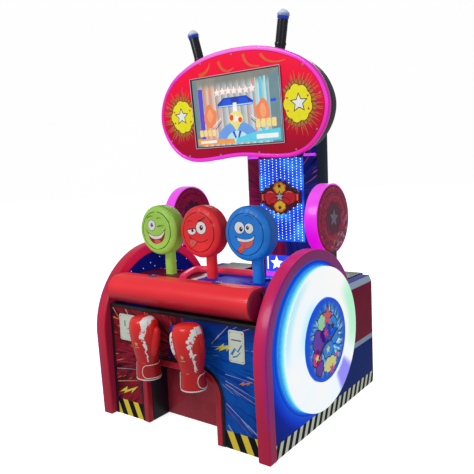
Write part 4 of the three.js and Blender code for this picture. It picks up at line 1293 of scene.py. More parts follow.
# ---- column ----
def column():
    g = Graph("column_print")
    angle, far = g.turn(g.x, g.z, (-0.02, 1.0))
    streaks = g.noise(8, 3, g.around(angle, far, 0.4), 0.7)
    red = g.ramp(streaks, [(0.3, "3c0834"), (0.45, "7c1044"), (0.55, "921848"), (0.68, "480c3c")])
    blue = g.ramp(streaks, [(0.3, "0a1050"), (0.45, "101c70"), (0.55, "1c2690"), (0.68, "0a1248")])
    fine = g.noise(30, 2, g.around(angle, far, 0.15), 0.6)
    blue = g.mix(g.times(g.rise(fine, 0.62, 0.65), g.rise(g.z, 1.0, 1.12)), blue, "d8604c")
    tone = g.mix(g.rise(g.plus(g.x, g.times(g.noise(5, 2), 0.08)), 0.02, 0.06), red, blue)
    dark = g.blend(6, 2, "08122a", "0c1a34")
    tone = g.mix(g.rise(g.negative(g.facing(1)), 0.4, 0.6), dark, tone)
    # the column print glows faintly, painted light
    refine("column", g.surface(tone, 0.42, coat=0.06, glow=tone, strength=0.25, specular=0.12), 2.0)

    blue_glow = Graph("curtain_blue")
    spots = blue_glow.ramp(blue_glow.noise(9, 3),
                           [(0.34, "0834d8"), (0.5, "1860f0"), (0.62, "38a0fc"), (0.74, "70d4fc")])
    curtain_material = blue_glow.surface("0a1c70", 0.3, coat=0.1, glow=spots, strength=0.95)
    place, dots = on_front(COLUMN_FRONT - 0.4), lamp("curtain_dots", "ffffff", "bfe0ff", 2.2)
    curtain = Piece().slab([rounded(-145, 765, 145, 1235, 4)], 0.2, 3.9, place, edge=1)
    centres = [(-130 + 26 * i, 776 + 15 * j + (7 if i % 2 else 0)) for i in range(11) for j in range(31)]
    curtain.dots(centres, 2.7, place, 1, 4.3)
    curtain.done("lamp_curtain", [curtain_material, dots], instead="led_curtain", slot="curtain_blue")

    # the emblem: two plain gloves and a star in front of a burst
    # the emblem's inks glow faintly, painted light
    inks = ink_set("emblem", back=("57152e", 0.1), yellow=("f2c52e", 0.25), orange=("ea6a2a", 0.2),
                   red=("d81f30", 0.2), dark="1c0a1e", shine=("ff8a7a", 0.25), white=("c8c0cc", 0.15),
                   blue=("2a50d8", 0.2))
    place, mid = on_front(COLUMN_FRONT - 4.9), 1019
    half = [(0, 103), (12, 84), (34, 92), (42, 70), (66, 72), (70, 54), (102, 52), (106, 36), (134, 36),
            (134, -36), (106, -38), (98, -56), (72, -60), (66, -78), (44, -76), (34, -96), (14, -88),
            (0, -103)]
    burst = half + [(-u, v) for u, v in half[1:-1]][::-1]
    burst = moved(anticlockwise(burst), 0, mid)
    emblem = Piece().slab([inset(burst, 0.4)], 0.2, 17.4, place, 0, edge=2)
    for v in (50, -50):
        puff = splat(0, mid + v, 44, 7, 0.16, 43 + v, 0.85)
        emblem.outlined(puff, place, 3, (4, 2), (17.7, 17.8))
        emblem.flat(splat(2, mid + v, 35, 7, 0.2, 47 + v, 0.8), place, 1, 17.9)
    for side in (-1, 1):
        cuff = anticlockwise(moved([(92, 26), (128, 20), (128, -22), (94, -28)], 0, mid, 1.0, side))
        emblem.flat(cuff, place, 4, 18.1)
        emblem.flat(inset(cuff, 4), place, 3, 18.2)
        emblem.flat(moved([(112, 17), (117, 16), (117, -18), (112, -19)], 0, mid, 1.0, side), place, 5, 18.3)
        fist = splat(side * 60, mid - 2, 43, 5, 0.10, 41, 0.92)
        emblem.outlined(fist, place, 4, (4, 3), (18.4, 18.5))
        thumb = ellipse(side * 40, mid - 20, 26, 14, tilt=side * -18)
        emblem.outlined(thumb, place, 3, (4, 3), (18.6, 18.7))
        emblem.flat(stroke(arc((side * 62, mid), 30, 60, 130, 8), 6, 0.3), place, 5, 18.7)
    emblem.outlined(star(0, mid + 2, 27, 12), place, 4, (4, 6), (18.9, 19.1))
    for v in (62, -60):
        emblem.flat(star(0, mid + v, 15, 7), place, 0, 19.1)
    emblem.done("emblem_plate", inks, instead="emblem", slot="emblem_red")
    screws([place(x, mid + z, 17.4) for x in (-122, 122) for z in (-27, 27)], (0, -1, 0), 4, "emblem_screws")

    # lit sign under the column
    place = on_front(COLUMN_FRONT - 0.4)
    sign_inks = [lamp("sign_blue", "3f5cff", "1e38e8", 0.95), lamp("sign_white", "ffffff", "d8e4ff", 1.6),
                 lamp("sign_magenta", "e64cff", "b82cf0", 1.1)]
    sign = Piece().slab([rounded(-122, 502, 122, 682, 4)], 0.2, 5.9, place, edge=1.2)
    sign.flat(rounded(-118, 557, 118, 586, 3), place, 2, 6.2)
    for loop in (bar(-104, 598, -104, 674, 8), star(-44, 636, 44, 19), star(44, 636, 44, 19),
                 bar(104, 598, 104, 674, 8)):
        sign.flat(loop, place, 1, 6.2)
    sign.dots([(-108 + 18 * i, 514 + 13 * j) for i in range(13) for j in range(3)], 3.2, place, 1, 6.3)
    sign.done("lit_sign_face", sign_inks, instead="lit_sign", slot="sign_blue")
    strip = Piece()
    for u in (150, -222):
        strip.slab([rounded(u, 1240, u + 72, 1254, 3)], 0.2, 3, on_front(COLUMN_FRONT))
    strip.done("column_strips", sign_inks[2:])


# ---- head ----
def head_line():
    right = spline(HEAD_HALF_OUTLINE, 8)
    return right + [(-u, v) for u, v in right[1:-1]][::-1]


def head_parts():
    outline = anticlockwise(head_line())
    inner = inset(outline, NEON_WIDTH - 0.4)
    face = on_head(0)
    g = Graph("neon_pink")
    tone = g.mix(g.rise(g.z, 1.25, 1.6), "d82090", "e040d0")
    tone = g.mix(g.rise(g.scaled(g.x, 0.3, g.z), 1.2, 1.42), "e838d8", tone)
    tone = g.mix(g.rise(g.z, 1.66, 1.78), tone, "ee8ce4")
    left_end = g.times(g.rise(g.negative(g.x), 0.36, 0.5), g.rise(g.z, 1.36, 1.46))
    tone = g.mix(g.times(left_end, 0.75), tone, "d02c64")
    flat_on = g.rise(g.negative(g.facing(1)), 0.35, 0.93)
    tone = g.mix(flat_on, "a0107c", tone)
    neon = g.surface("a00c80", 0.25, coat=0.3, glow=tone, strength=g.vary(14, 2, 0.2, 0.72))
    ring = Piece().slab([outline, inner], -NEON_DEPTH, 4, face, edge=9, steps=5)
    ring.done("neon_rim", neon, instead="head_neon", slot="neon_pink")

    g = Graph("head_print")
    shift = g.vary(4, 2, 0.2, g.z)
    tone = g.ramp(g.rise(shift, 1.3, 1.85),
                  [(0.0, "a00c2c"), (0.3, "c40c30"), (0.6, "e80c38"), (1.0, "f8103c")])
    # the red panel and several of its inks glow faintly, painted light
    red = g.surface(tone, 0.35, coat=0.05, glow=tone, strength=0.22, specular=0.12)
    inks = [red, ink("head_orange", "e85c2c", glow=0.15), ink("ray_orange", "c87430", glow=0.1),
            ink("ray_red", "b8283a", glow=0.05), ink("splat_yellow", "e8e012", glow=0.3),
            ink("splat_dark", "3c1a24"), ink("splat_white", "f4f4f8", glow=0.2),
            ink("splat_red", "e02a3a", glow=0.15)]
    opening = rounded(-268, SCREEN_MIDDLE - 173, 268, SCREEN_MIDDLE + 173, 4)
    panel = Piece().slab([inset(outline, NEON_WIDTH + 0.2), opening], -12, 0, face, edge=0.6, steps=2)
    safe = inset(outline, NEON_WIDTH + 2)
    for side in (-1, 1):
        centre = (side * BURST_X, 4)
        dice = random.Random(61 + side)
        for k in range(30):
            a = math.tau * (k + 0.5) / 30
            u, v = polar(a, *BURST, centre)
            if abs(u) > 290 and inside_loop(safe, u + 16 * math.cos(a), v + 16 * math.sin(a)):
                petal = turned_by(ellipse(u, v, 17, 9, 16), math.degrees(a), (u, v))
                panel.flat(petal, face, 5, 0.2)
                panel.flat(inset(petal, 1.6), face, 2, 0.3)
        for k in range(64):
            a = math.tau * (k + dice.uniform(-0.3, 0.3)) / 64
            reach = dice.uniform(122, 158)
            while reach > 80 and not inside_loop(safe, *polar(a, reach, centre=centre)):
                reach -= 4
            tip, root = polar(a, reach, centre=centre), polar(a, *BURST, centre)
            if abs(tip[0]) < 282 and abs(tip[1] - SCREEN_MIDDLE) < 182:
                continue
            if math.dist(tip, centre) > math.dist(root, centre) + 6:
                panel.flat(bar(*root, *tip, 6.5, 1.2), face, 2 + (k % 4 == 0), 0.15)
        blot = splat(centre[0], centre[1], 76, 9, 0.10, 71 + side, 1.12)
        panel.flat(clipped(inset(blot, -3), side * 276, side), face, 5, 0.4)
        panel.flat(clipped(blot, side * 276, side), face, 4, 0.6)
        panel.outlined(star(centre[0] + side * 6, centre[1] + 2, 40, 18, 5, 90, 0.95), face, 4, (5, 6),
                       (0.8, 1.0))
        for a in (28, -28, 152, 208):
            u, v = polar(math.radians(a), 62, centre=centre)
            if abs(u) > 284:
                panel.flat(star(u, v, 8, 4, 3, a), face, 7, 0.8)
    ribbons = [([(-214, 198), (-176, 208), (-150, 228), (-138, 252)], 20),
               ([(-84, 252), (-64, 214), (-28, 198), (10, 210)], 18),
               ([(70, 264), (82, 230), (112, 206), (160, 198)], 18),
               ([(168, 252), (200, 220), (248, 204), (304, 206)], 15),
               ([(300, 160), (330, 172), (370, 176), (404, 166)], 8)]
    arcs = [stroke(spline(line, 6), width, 0.3) for line, width in ribbons]
    for loop in arcs:
        if all(inside_loop(safe, u, v) for u, v in loop):
            panel.flat(loop, face, 1, 0.3)
    panel.done("head_face", inks, instead="head_panel", slot="head_red")
    spots = [(-455, 60), (-380, 185), (-200, 258), (0, 276), (210, 258), (392, 172), (470, 40), (445, -120),
             (330, -205), (120, -208), (-120, -208), (-330, -205), (-448, -118)]
    spots = [p for p in spots if inside_loop(safe, *p)]
    tilt = head(0, -1, 0) - head(0, 0, 0)
    # painted light: the white screw heads glow faintly
    screws([face(u, v, 0.1) for u, v in spots], tilt, 4.0, "head_screws",
           material=lamp("screw_white", "ffffff", "e0e4ee", 0.25))

    black = paint("casing_black", "0a0b12", 0.36, 0.2)
    Piece().slab([inset(outline, 15)], -(CASING_FRONT + CASING_DEPTH), -CASING_FRONT, face, edge=12,
                 steps=5).done(
        "head_shell", black, instead="head_casing", slot="casing_black")
    vents = Piece()
    back = lambda u, v, h: head(u, CASING_FRONT + CASING_DEPTH + h, v)
    for row in range(8):
        for side in (-1, 1):
            vents.slab([rounded(side * 290 - 70, -70 + row * 18, side * 290 + 70, -62 + row * 18, 3.5)],
                       0.2, 1.2, back)
    vents.done("head_vents", paint("vent_dark", "050506", 0.7, 0.0))
    screen_parts(face)
    antennas()


def inside_loop(loop, u, v):
    hit = False
    for (u0, v0), (u1, v1) in zip(loop, loop[1:] + loop[:1]):
        if (v0 > v) != (v1 > v) and u < (u1 - u0) * (v - v0) / (v1 - v0) + u0:
            hit = not hit
    return hit


def clipped(loop, limit, side):
    """The part of an outline further out than limit, on that side."""
    return [(max(u, limit) if side > 0 else min(u, limit), v) for u, v in loop]


def screen_parts(face):
    half_u, half_v = SCREEN_HALF
    low, high = SCREEN_MIDDLE - half_v, SCREEN_MIDDLE + half_v
    frame_black, frame_line = paint("bezel_black", "14141c", 0.3,
                                    0.4), lamp("bezel_line", "f4d8ee", "e8b8dc", 0.5)
    bezel = Piece().slab([rounded(-half_u - 16, low - 16, half_u + 16, high + 16, 3),
                          rounded(-half_u - 9, low - 9, half_u + 9, high + 9, 1.5)], 0.4, 7.6, face,
                         edge=1.5, steps=2)
    bezel.slab([rounded(-half_u - 17, low - 17, half_u + 17, high + 17, 4),
                rounded(-half_u - 13.6, low - 13.6, half_u + 13.6, high + 13.6, 2)], 7.7, 8.3, face, 1)
    bezel.done("screen_frame", [frame_black, frame_line], instead="screen_bezel", slot="bezel_black")

    g = Graph("screen_glass")
    u = g.x
    ribs = g.math("FRACT", g.vary(3, 1, 0.5, g.times(u, 26)))
    warm = g.mix(ribs, "a8948c", "f0dccc")
    cool = g.mix(ribs, "84b0b8", "cceaf0")
    tone = g.mix(g.rise(g.math("ABSOLUTE", u), 0.07, 0.13), g.mix(ribs, "9a9e9e", "d8dcdc"),
                 g.mix(g.rise(u, 0.0, 0.01), warm, cool))
    tone = g.mix(g.rise(g.z, 1.58, 1.63), tone, g.blend(12, 2, "66787c", "a49c88"))
    back = g.surface("0c0f18", 0.12, coat=0.3, glow=tone, strength=0.95)
    names = {"deep": "1f3fb4", "blue": "2456e0", "light": "6ea2ea", "pale": "bfe9ec", "cyan": "5fd2ec",
             "orange": "f68a5c", "peach": "f9a878", "amber": "f6a050", "white": "fbf7f0", "pink": "f6a6a0",
             "yellow": "f2e68a", "violet": "5a4cd0", "red": "ea5038", "dark": "2a2f48", "magenta": "e0429a",
             "steel": "6f8f96"}
    order = {name: i + 1 for i, name in enumerate(names)}
    inks = [back] + [lamp("screen_" + name, code, shade(code, -0.12), 1.0) for name, code in names.items()]
    screen = Piece().slab([rounded(-half_u - 8.5, low - 8.5, half_u + 8.5, high + 8.5, 2)], -39, -0.6, face)
    level = [0.2]

    def put(loop, name):
        level[0] += 0.12
        screen.flat(loop, face, order[name], level[0])

    for u0, u1, name in ((-234, -204, "violet"), (-190, -180, "amber"), (-168, -160, "pink"),
                         (152, 164, "cyan"), (178, 186, "pale"), (-150, -144, "amber"),
                         (112, 118, "orange"), (126, 130, "pale")):
        put([(u0, low), (u1, low), (u1, high - 30 + u0 * 0.05), (u0, high - 30 + u0 * 0.05)], name)
    put([(206, low - 8), (262, low - 8), (262, high - 6), (206, high - 6)], "steel")
    put([(-266, low - 8), (-236, low - 8), (-236, high + 4), (-266, high + 4)], "steel")
    put(bar(208, 34, 240, 34, 13), "blue")
    for k in range(7):
        u = -108 + k * 36
        for outer, inner, colour in ((25, 12, "pink"), (21, 10, "white")):
            put(star(u, 102 + 3 * math.sin(k), outer, inner), colour)
    put([(-110, 44), (-70, 72), (70, 72), (110, 44), (96, 30), (-96, 30)], "deep")
    put([(-70, 66), (-26, 66), (-20, 42), (-84, 42)], "blue")
    put([(26, 66), (70, 66), (84, 42), (20, 42)], "blue")
    put([(-112, 42), (112, 42), (104, 26), (-104, 26)], "blue")
    put([(-104, 34), (104, 34), (102, 29), (-102, 29)], "pale")
    for side in (-1, 1):
        glove = spline([(0, 0), (30, 2), (46, 34), (34, 84), (10, 104), (-10, 82), (-28, 66), (-24, 24)], 5,
                       True)
        put(moved(glove, side * 152, -66, 1.12, side), "orange")
        put(moved(spline([(6, 20), (24, 30), (26, 60), (8, 80), (-6, 50)], 5, True), side * 152, -62, 1.1,
                  side), "peach")
        put(bar(side * 88, 24, side * 92, -40, 8, 8), "pink")
        for k in range(3):
            put(bar(side * 92, -24 - k * 9, side * 150, -66 - k * 14, 4), ("white", "pink", "deep")[k])
    put(arc((0, -152), 128, 0, 180, 30, 0.80), "light")
    put(arc((0, -152), 72, 0, 180, 30, 0.80), "pale")
    put(bar(-22, -96, -8, -130, 14, 9), "blue")
    put(bar(22, -96, 8, -130, 14, 9), "blue")
    put(bar(0, 44, 0, -6, 22, 26), "white")
    put(ellipse(0, -34, 44, 36), "yellow")
    put([(-30, -56), (30, -56), (0, -96)], "yellow")
    put(star(0, -34, 24, 11), "white")
    put(ellipse(-26, -28, 12, 15), "red")
    put(ellipse(26, -42, 12, 13), "red")
    put([(-256, low), (-14, low), (-20, low + 22), (-256, low + 34)], "amber")
    put([(-14, low), (256, low), (256, low + 56), (120, low + 48), (0, low + 24)], "cyan")
    for k in range(4):
        for u0, v0, u1, v1, r in ((-240 + k * 28, -112, -214 + k * 28, -76, 7),
                                  (118 + k * 31, -90, 146 + k * 31, -46, 8)):
            put(rounded(u0, v0, u1, v1, r), "pink")
            put(rounded(u0 + 2, v0 + 2, u1 - 2, v1 - 2, r - 1), "yellow")
    put(rounded(-236, low + 8, -130, low + 22, 3), "white")
    put(rounded(118, low + 12, 244, low + 34, 4), "white")
    screen.done("screen_panel", inks, instead="monitor", slot="screen")


# ---- antennas ----
def antennas():
    lean_angle = math.radians(12)
    black = paint("antenna_black", "0d0e15", 0.3, 0.3)
    glow, clear = lamp("antenna_blue", "1c48d0", "14208c", 0.7), Graph("lamp_clear")
    # painted reflection: the clear dome is pale where it faces up and greyer at its sides and top, and it
    # glows faintly, painted light
    dome_painted_light = clear.mix(clear.rise(clear.facing(2), 0.0, 0.5), "8498c8", "dfe8f8")
    dome_painted_light = clear.mix(clear.rise(clear.facing(2), 0.72, 0.95), dome_painted_light, "7884a4")
    clear = clear.surface(dome_painted_light, 0.15, coat=0.4, glow=dome_painted_light, strength=0.12)
    for side, word in SIDES:
        def place(u, v, h, side=side):
            c, s = math.cos(lean_angle), math.sin(lean_angle)
            x, up = u * c + h * s, -u * s + h * c
            return head(side * (243 + x), 60 + v, 262 + up)
        tube = Piece().lathe([(0, -22), (24.6, -22), (25.6, 10), (25.6, 136), (24.4, 136.8), (0, 136.8)],
                             40, place)
        tube.lathe([(25.6, 20), (27.6, 20), (28.2, 22), (28.2, 30), (27.6, 32), (25.6, 32)], 40, place,
                   closed=True)
        tube.done("antenna_tube_" + word, black, instead="antenna_" + word, slot="antenna_black")
        low = 137.6
        band = Piece().lathe([(0, low), (27.4, low), (27.8, low + 2), (27.8, low + 13), (0, low + 13)], 40,
                             place)
        dome = [(0, low + 13.2), (30, low + 13.2), (30.8, low + 15)]
        dome += ([polar(math.radians(a), 30.8, 27.6, (0, low + 15)) for a in range(10, 90, 10)]
                 + [(0, low + 42.6)])
        band.lathe(dome, 40, place, 1)
        band.done("antenna_light_" + word, [glow, clear], instead="antenna_lamp_" + word, slot="lamp_clear")


# ---- drums ----
def drums():
    g = Graph("drum_glow")
    tone = g.mix(g.rise(g.z, 0.85, 1.08), "e010e4", "e458e4")
    band_material = g.surface("900890", 0.3, coat=0.25, glow=tone, strength=g.vary(10, 2, 0.2, 0.78))
    for side, word in SIDES:
        g = Graph("drum_print_" + word)
        angle, far = g.turn(g.y, g.z, in_metres(*DRUM))
        swirl = g.noise(7, 4, g.around(angle, far, 6.0), 0.7)
        tone = g.ramp(swirl, [(0.30, "4c0c2a"), (0.45, "7c1038"), (0.55, "a41844"), (0.70, "5c0c30")])
        corner = g.rise(g.less(g.y, g.z), -0.72, -0.62)
        scribble = g.rise(g.noise(34, 3), 0.52, 0.56)
        tone = g.mix(g.times(g.times(corner, scribble), 0.4), tone,
                     g.mix(g.rise(g.noise(12, 2), 0.45, 0.55), "88c4b8", "e08cb0"))
        # the drum print glows faintly, painted light
        face_print = g.surface(tone, 0.35, coat=0.1, glow=tone, strength=0.25, specular=0.15)
        inks = [face_print, ink("drum_line_" + word, "2c0a1c"), ink("drum_grey_" + word, "84748e"),
                ink("drum_red_" + word, "c2243c"), ink("drum_dark_" + word, "681238")]
        place = on_side(side, DRUM_X, *DRUM)
        half = [(161, 32), (DRUM_FACE_RADIUS, DRUM_HALF), (0, DRUM_HALF)]
        piece = Piece().lathe([(r, -h) for r, h in half[::-1]] + half, 128, place)
        for out in (1, -1):
            face = on_side(side, DRUM_X + out * DRUM_HALF, *DRUM, out, side * out)
            for radius, width in ((128, 3), (DRUM_FACE_RADIUS, 4)):
                outer, inner = ring_line(radius, width, 96)
                piece.flat(outer, face, 1, 0.3, hole=inner)
            piece.flat(splat(0, 4, 84, 9, 0.22, 81), face, 4, 0.4)
            for outer, inner, colour, lift in ((54, 24, 1, 0.6), (46, 21, 2, 0.8)):
                piece.flat(star(0, 4, outer, inner, 5, 84), face, colour, lift)
            piece.flat(stroke(arc((0, 0), 100, 200, 340, 30), 14, 0.5), face, 3, 0.5)
            piece.flat(stroke(arc((0, 0), 104, 20, 120, 24), 12, 0.4), face, 3, 0.5)
            piece.flat(moved(BOLT, 18, -112, 0.6), face, 2, 0.8)
        first, last, top = DRUM_FOOT
        clear = ARCH_RADIUS + 1.4
        ends = [(u, ARCH[1] + math.sqrt(clear ** 2 - (u - ARCH[0]) ** 2)) for u in (first, last)]
        under = ends[:1] + [(u, v) for u, v in arc(ARCH, clear, 58, 46, 8) if first <= u <= last] + ends[1:]
        foot = Piece().slab([under + [(last, top), (first, top)]], 440.5, 473.5, on_side(side, 0), edge=1.5,
                            steps=2)
        foot.done("drum_foot_" + word, paint("drum_foot_" + word, "1a1020", 0.4, 0.2))
        piece.done("drum_face_" + word, inks, instead="drum_" + word, slot="drum_art")
        hoop = ([(162.2, -31), (166.4, -31)] + arc((164.6, -28.6), 3.2, 300, 360, 3)
                + arc((164.6, 28.6), 3.2, 0, 60, 3) + [(166.4, 31), (162.2, 31)])
        Piece().lathe(hoop, 144, place, closed=True).done("drum_band_glow_" + word, band_material,
                                                          instead="drum_band_" + word, slot="drum_glow")
        holes = [polar(math.radians(a), 146, centre=DRUM) for a in range(30, 390, 60)]
        screws([at(side * (DRUM_X + DRUM_HALF), *hole) for hole in holes], (side, 0, 0), 3.6, "drum_screws_"
               + word)


# ---- gloves ----
def glove_material(name, side, hang, flame_u, top_u):
    """Red leather with a white flame; u runs across the glove, w up along it."""
    g = Graph(name)
    across = g.less(g.x, (side * GLOVE_X + hang[1]) / 1000)
    above = g.less(g.z, PEG_HEIGHT / 1000)
    lean = math.radians(hang[0])
    u = g.plus(g.times(across, math.cos(lean)), g.times(above, math.sin(lean)))
    w = g.scaled(above, math.cos(lean), PEG_HEIGHT / 1000)
    w = g.less(w, g.times(across, math.sin(lean)))
    wobble = g.plus(g.times(g.less(g.noise(48, 4), 0.5), 0.026),
                    g.times(g.less(g.noise(150, 2), 0.5), 0.009))
    high = g.over(g.less(w, 0.34), 0.22)
    middle = g.ramp(high,
                    [(0.0, 0.44), (0.2, 0.47), (0.4, 0.50), (0.55, 0.45), (0.75, 0.52),
                     (0.88, 0.52 + top_u * 0.6), (0.96, 0.52 + top_u)])
    width = g.ramp(high, [(0.03, 0.0), (0.08, 0.05), (0.30, 0.06), (0.42, 0.12), (0.50, 0.08), (0.62, 0.20),
                          (0.74, 0.17), (0.86, 0.25), (0.96, 0.32)])
    place = g.scaled(g.less(middle, 0.5), 0.12, flame_u)
    off = g.math("ABSOLUTE", g.plus(g.less(u, place), wobble))
    reach = g.less(g.times(width, 0.066), off)
    front = g.rise(g.negative(g.facing(1)), -0.3, -0.1)
    flame = g.times(g.times(g.rise(reach, 0.0, 0.001), front), g.rise(w, 0.346, 0.348))
    tear = g.times(g.rise(g.noise(70, 3), 0.56, 0.60), g.inside(w, 0.40, 0.50, 0.01))
    flame = g.times(flame, g.opposite(g.times(tear, 0.85)))
    tone = g.blend(16, 3, "c8141d", "e42024")
    tone = g.mix(g.rise(w, 0.44, 0.55), tone, "f4281f")
    cuff = g.opposite(g.rise(w, 0.344, 0.346))
    tone = g.mix(g.times(cuff, 0.75), tone, "bc0e16")
    tone = g.mix(g.times(g.inside(w, 0.345, 0.43, 0.012), 0.45), tone, "ac1828")
    tone = g.mix(flame, tone, g.blend(60, 2, "dfe4e4", "f4f6f6"))
    grain = g.grain(520, 70, 1.4)
    return g.surface(tone, g.vary(90, 2, 0.12, 0.3), coat=0.4, bump=grain, depth=0.00022)


def thumb_material(name, patch):
    """The thumb's red leather, with a torn white patch towards its tip if patch is set."""
    g = Graph(name)
    tone = g.blend(18, 3, "c8141d", "e82224")
    if patch:
        tone = g.mix(g.rise(g.vary(44, 4, 0.12, g.z), 0.475, 0.478), tone, "eceef0")
        tone = g.mix(g.rise(g.noise(80, 3), 0.60, 0.63), tone, "c8141d")
    grain = g.grain(520, 70, 1.4)
    return g.surface(tone, 0.36, coat=0.35, bump=grain, depth=0.00022)


def glove_shape():
    """The right glove's stuffed body and open cuff."""
    outer = (spline([(57.5, 266), (58.5, 277), (57, 300), (55, 326), (54, 342), (56, 354), (60.5, 374),
                     (67, 404), (71.5, 438), (73.5, 472), (73, 504), (68, 530), (54, 545), (28, 551)], 4)
             + [(0, 552)])
    hollow = [(0, 500), (30, 494), (42, 474), (50, 420), (43, 340), (46, 300), (48, 270), (51, 265.6)]

    def place(u, v, h):
        fist = max(0.0, min(1.0, (h - 370) / 110))
        return at(GLOVE_X + u, GLOVE_DEPTH + v * (0.80 if h > 340 else 0.84) - 7 * fist * fist, h)

    return Piece().lathe(hollow + outer, 56, place).mesh("glove_start")


def thumb_shape():
    """The right glove's thumb, lying along the glove's edge nearer the machine's middle."""
    line = spline([(GLOVE_X - 44, -46, 380), (GLOVE_X - 60, -50, 408), (GLOVE_X - 72, -52, 438),
                   (GLOVE_X - 79, -50, 468), (GLOVE_X - 82, -47, 492)], 6)
    piece = Piece().tube([at(*p) for p in line], lambda t: 15 + 4.5 * math.sin(math.pi * min(1, t * 0.9)),
                         steps=24, flatten=0.95)
    tip, end = line[-1], 16.2
    ball = [(0, -end)] + [polar(math.radians(a), end) for a in range(-75, 76, 15)] + [(0, end)]
    piece.lathe(ball, 24, lambda u, v, h: at(tip[0] + u, tip[1] + v * 0.95, tip[2] + h * 1.15))
    return piece.mesh("thumb_start")


def cut_box(mesh, low, high):
    """Takes a box out of a closed mesh."""
    obj = bpy.data.objects.new("cut_work", mesh)
    tool = bpy.data.objects.new("cut_tool",
                                Piece().slab([[(low[0], low[2]), (high[0], low[2]), (high[0], high[2]),
                                               (low[0], high[2])]], -high[1], -low[1],
                                             on_front(0)).mesh("cut_tool"))
    for o in (obj, tool):
        link(o)
    cut = obj.modifiers.new("cut", "BOOLEAN")
    cut.operation = "DIFFERENCE"
    cut.solver = "EXACT"
    cut.object = tool
    result = baked(obj, mesh.name + "_cut")
    bpy.data.objects.remove(obj)
    bpy.data.objects.remove(tool)
    return result


def gloves():
    even = inflate(glove_shape(), voxel=0.004, cap=0.0018, pressure=3.0, frames=14)
    half, slot_low, slot_high = PEG_SLOT
    shape = cut_box(even, (GLOVE_X - half, GLOVE_DEPTH + 8, slot_low), (GLOVE_X + half, 60, slot_high))
    thumb = inflate(thumb_shape(), voxel=0.003, cap=0.001, pressure=2.0, frames=8)
    for polygon in shape.polygons:
        polygon.use_smooth = True
    white, gold = leather("glove_white", "e9ece6", 0.35, 0.3), ink("glove_gold", "e0b458", 0.3)
    strap_red = leather("strap_red", "b8121c", 0.35, 0.3)
    for side, word in SIDES:
        body = word + "_glove"
        mesh, thumb_mesh = shape.copy(), thumb.copy()
        for m in (mesh, thumb_mesh):
            if side < 0:
                m.transform(Matrix.Scale(-1, 4, (1, 0, 0)))
                m.flip_normals()
        hang = GLOVE_HANG[word]
        material = glove_material("glove_leather_" + word, side, hang, 0.050 if side > 0 else 0.042,
                                  0.25 if side > 0 else 0.0)
        cover = settle(bpy.data.objects.new("glove_body_" + word, mesh), material, body, "glove_" + word)
        lobe = settle(bpy.data.objects.new("glove_thumb_" + word, thumb_mesh),
                      thumb_material("thumb_leather_" + word, side > 0), body)
        made, tree = [cover, lobe], surface_of(mesh)

        def skin(angle, height, lift, side=side):
            """A point on the glove's skin; 0 degrees faces the player, 90 is to the player's right."""
            out = Vector((math.sin(math.radians(angle)), -math.cos(math.radians(angle)), 0))
            axis = at(side * GLOVE_X, GLOVE_DEPTH, height)
            return laid_on(tree, axis + out * 0.12, -out, lift)

        trims = Piece().tube([skin(a, 270, 0.4) for a in range(-150, 151, 6)], 2.8, steps=10)
        trims.tube([skin(-62, z, 0.4) for z in range(272, 343, 5)], 2.2 if side < 0 else 2.8, steps=8)
        if side > 0:
            trims.tube([skin(-96, z, 0.3) for z in range(272, 343, 5)], 2.0, steps=8)
        made.append(trims.done("glove_piping_" + word, white, body))
        seam = Piece().tube([skin(a, 345, -0.3) for a in range(-140, 141, 5)], 1.2, steps=6)
        seam.tube([skin(a, 349, -0.2) for a in range(-140, 141, 5)], 0.7, steps=6)
        seam.tube([skin(58 if side < 0 else 70, z, -0.3) for z in range(350, 545, 6)], 0.9, steps=6)
        made.append(seam.done("glove_seam_" + word, strap_red, body))
        strap, rim = cuff_strap(skin, (14, 150) if side < 0 else (62, 150))
        made.append(strap.done("glove_strap_" + word, strap_red, body))
        made.append(rim.done("glove_strap_edge_" + word, white, body))

        def skin_flat(u, v, h, side=side):
            return laid_on(tree, at(side * GLOVE_X + u, GLOVE_DEPTH - 160, v), Vector((0, 1, 0)), h)

        gold_u, gold_v = (2, 438) if side < 0 else (5, 420)
        marks = Piece().flat(star(gold_u, gold_v, 12, 5.2), skin_flat, 0, 1.6)
        marks.flat(rounded(gold_u - 13, gold_v - 18, gold_u + 13, gold_v - 15, 1), skin_flat, 0, 1.6)
        made.append(marks.done("glove_mark_" + word, gold, body))
        peg_point = at(side * GLOVE_X, 0, PEG_HEIGHT)
        swing = Matrix.Rotation(math.radians(-hang[0]), 4, "Y")
        shift = Matrix.Translation(peg_point + Vector((hang[1] / 1000, 0, 0)))
        for obj in made:
            obj.data.transform(shift @ swing @ Matrix.Translation(-peg_point))
        finish_node("glove_peg_" + word, metal("peg_steel_" + word, "7c828c", "b0b5bd", (90, 2), 0.28))


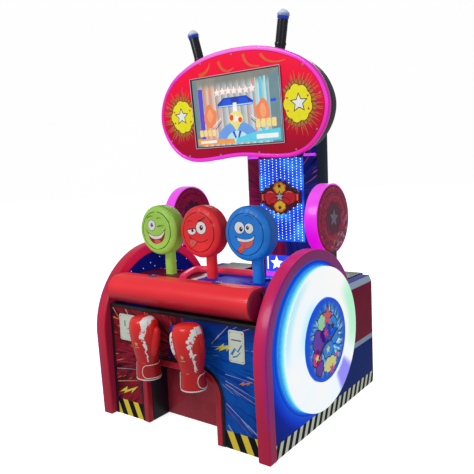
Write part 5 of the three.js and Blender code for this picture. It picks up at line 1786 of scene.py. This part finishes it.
def cuff_strap(skin, angles):
    """The closing strap round a cuff, its rounded end towards the player, and the strap's edging."""
    first, last = angles
    steps, rows, rounding = 30, 8, 26
    top, inner = [], []
    edge_low, edge_high = [], []
    for i in range(steps + 1):
        angle = first + (last - first) * i / steps
        along = angle - first
        grow = math.sqrt(max(0.0, 1 - ((rounding - along) / rounding) ** 2)) if along < rounding else 1.0
        heights = [STRAP_MIDDLE + STRAP_HALF * max(grow, 0.05) * (2 * j / rows - 1) for j in range(rows + 1)]
        top += [skin(angle, height, 3.0) for height in heights]
        inner += [skin(angle, height, -0.4) for height in heights]
        edge_low.append(skin(angle, STRAP_MIDDLE - STRAP_HALF * max(grow, 0.02), 2.9))
        edge_high.append(skin(angle, STRAP_MIDDLE + STRAP_HALF * max(grow, 0.02), 2.9))
    wide, faces, count = rows + 1, [], len(top)
    for i in range(steps):
        for j in range(rows):
            a = i * wide + j
            faces.append([a, a + 1, a + wide + 1, a + wide])
            faces.append([count + a, count + a + wide, count + a + wide + 1, count + a + 1])
    border = (list(range(rows)) + [i * wide + rows for i in range(steps)]
              + [steps * wide + j for j in range(rows, 0, -1)] + [i * wide for i in range(steps, 0, -1)])
    for a, b in zip(border, border[1:] + border[:1]):
        faces.append([a, b, count + b, count + a])
    strap = Piece()
    strap.add(top + inner, faces)
    return strap, Piece().tube(edge_high[::-1] + edge_low[1:], 1.8, steps=8)


# ---- the whole scene ----
scene = bpy.context.scene
scene.view_settings.view_transform = "Standard"
set_camera()
world = bpy.data.worlds.new("studio")
world.use_nodes = True
world.node_tree.nodes["Background"].inputs[0].default_value = (1, 1, 1, 1)
world.node_tree.nodes["Background"].inputs[1].default_value = 0.4
scene.world = world
area_light("key", (-1.4, -3.8, 3.2), (0, 0, 0.8), 2.0, 80)
area_light("fill", (3.6, -2.2, 1.8), (0, 0, 0.7), 2.4, 15, (0.9, 0.9, 1.0))
area_light("rear", (-1.5, 3.4, 2.8), (0, 0, 0.9), 2.4, 45)

floor_mesh = bpy.data.meshes.new("floor")
floor_mesh.from_pydata([(-30, -30, -0.0005), (30, -30, -0.0005), (30, 30, -0.0005), (-30, 30, -0.0005)], [],
                       [[0, 1, 2, 3]])
floor = bpy.data.objects.new("floor", floor_mesh)
link(floor)
g = Graph("floor_pale")
pale = g.blend(0.6, 2, "fbfbfb", "ffffff")
floor_mesh.materials.append(g.surface(pale, 0.9, glow=pale, strength=0.8, specular=0.02))
floor.visible_diffuse = floor.visible_glossy = False
backdrop_mesh = bpy.data.meshes.new("backdrop")
ball = bmesh.new()
bmesh.ops.create_icosphere(ball, subdivisions=4, radius=28)
ball.to_mesh(backdrop_mesh)
ball.free()
backdrop = bpy.data.objects.new("backdrop", backdrop_mesh)
link(backdrop)
g = Graph("backdrop_white")
white = g.blend(0.2, 1, "fdfdfd", "ffffff")
backdrop_mesh.materials.append(g.surface("000000", 1.0, glow=white, strength=1.0, specular=0.0))
for ray in ("diffuse", "glossy", "shadow", "transmission"):
    setattr(backdrop, "visible_" + ray, False)

sides()
ring_lights()
front()
roll()
deck()
rear()
targets()
column()
head_parts()
drums()
gloves()
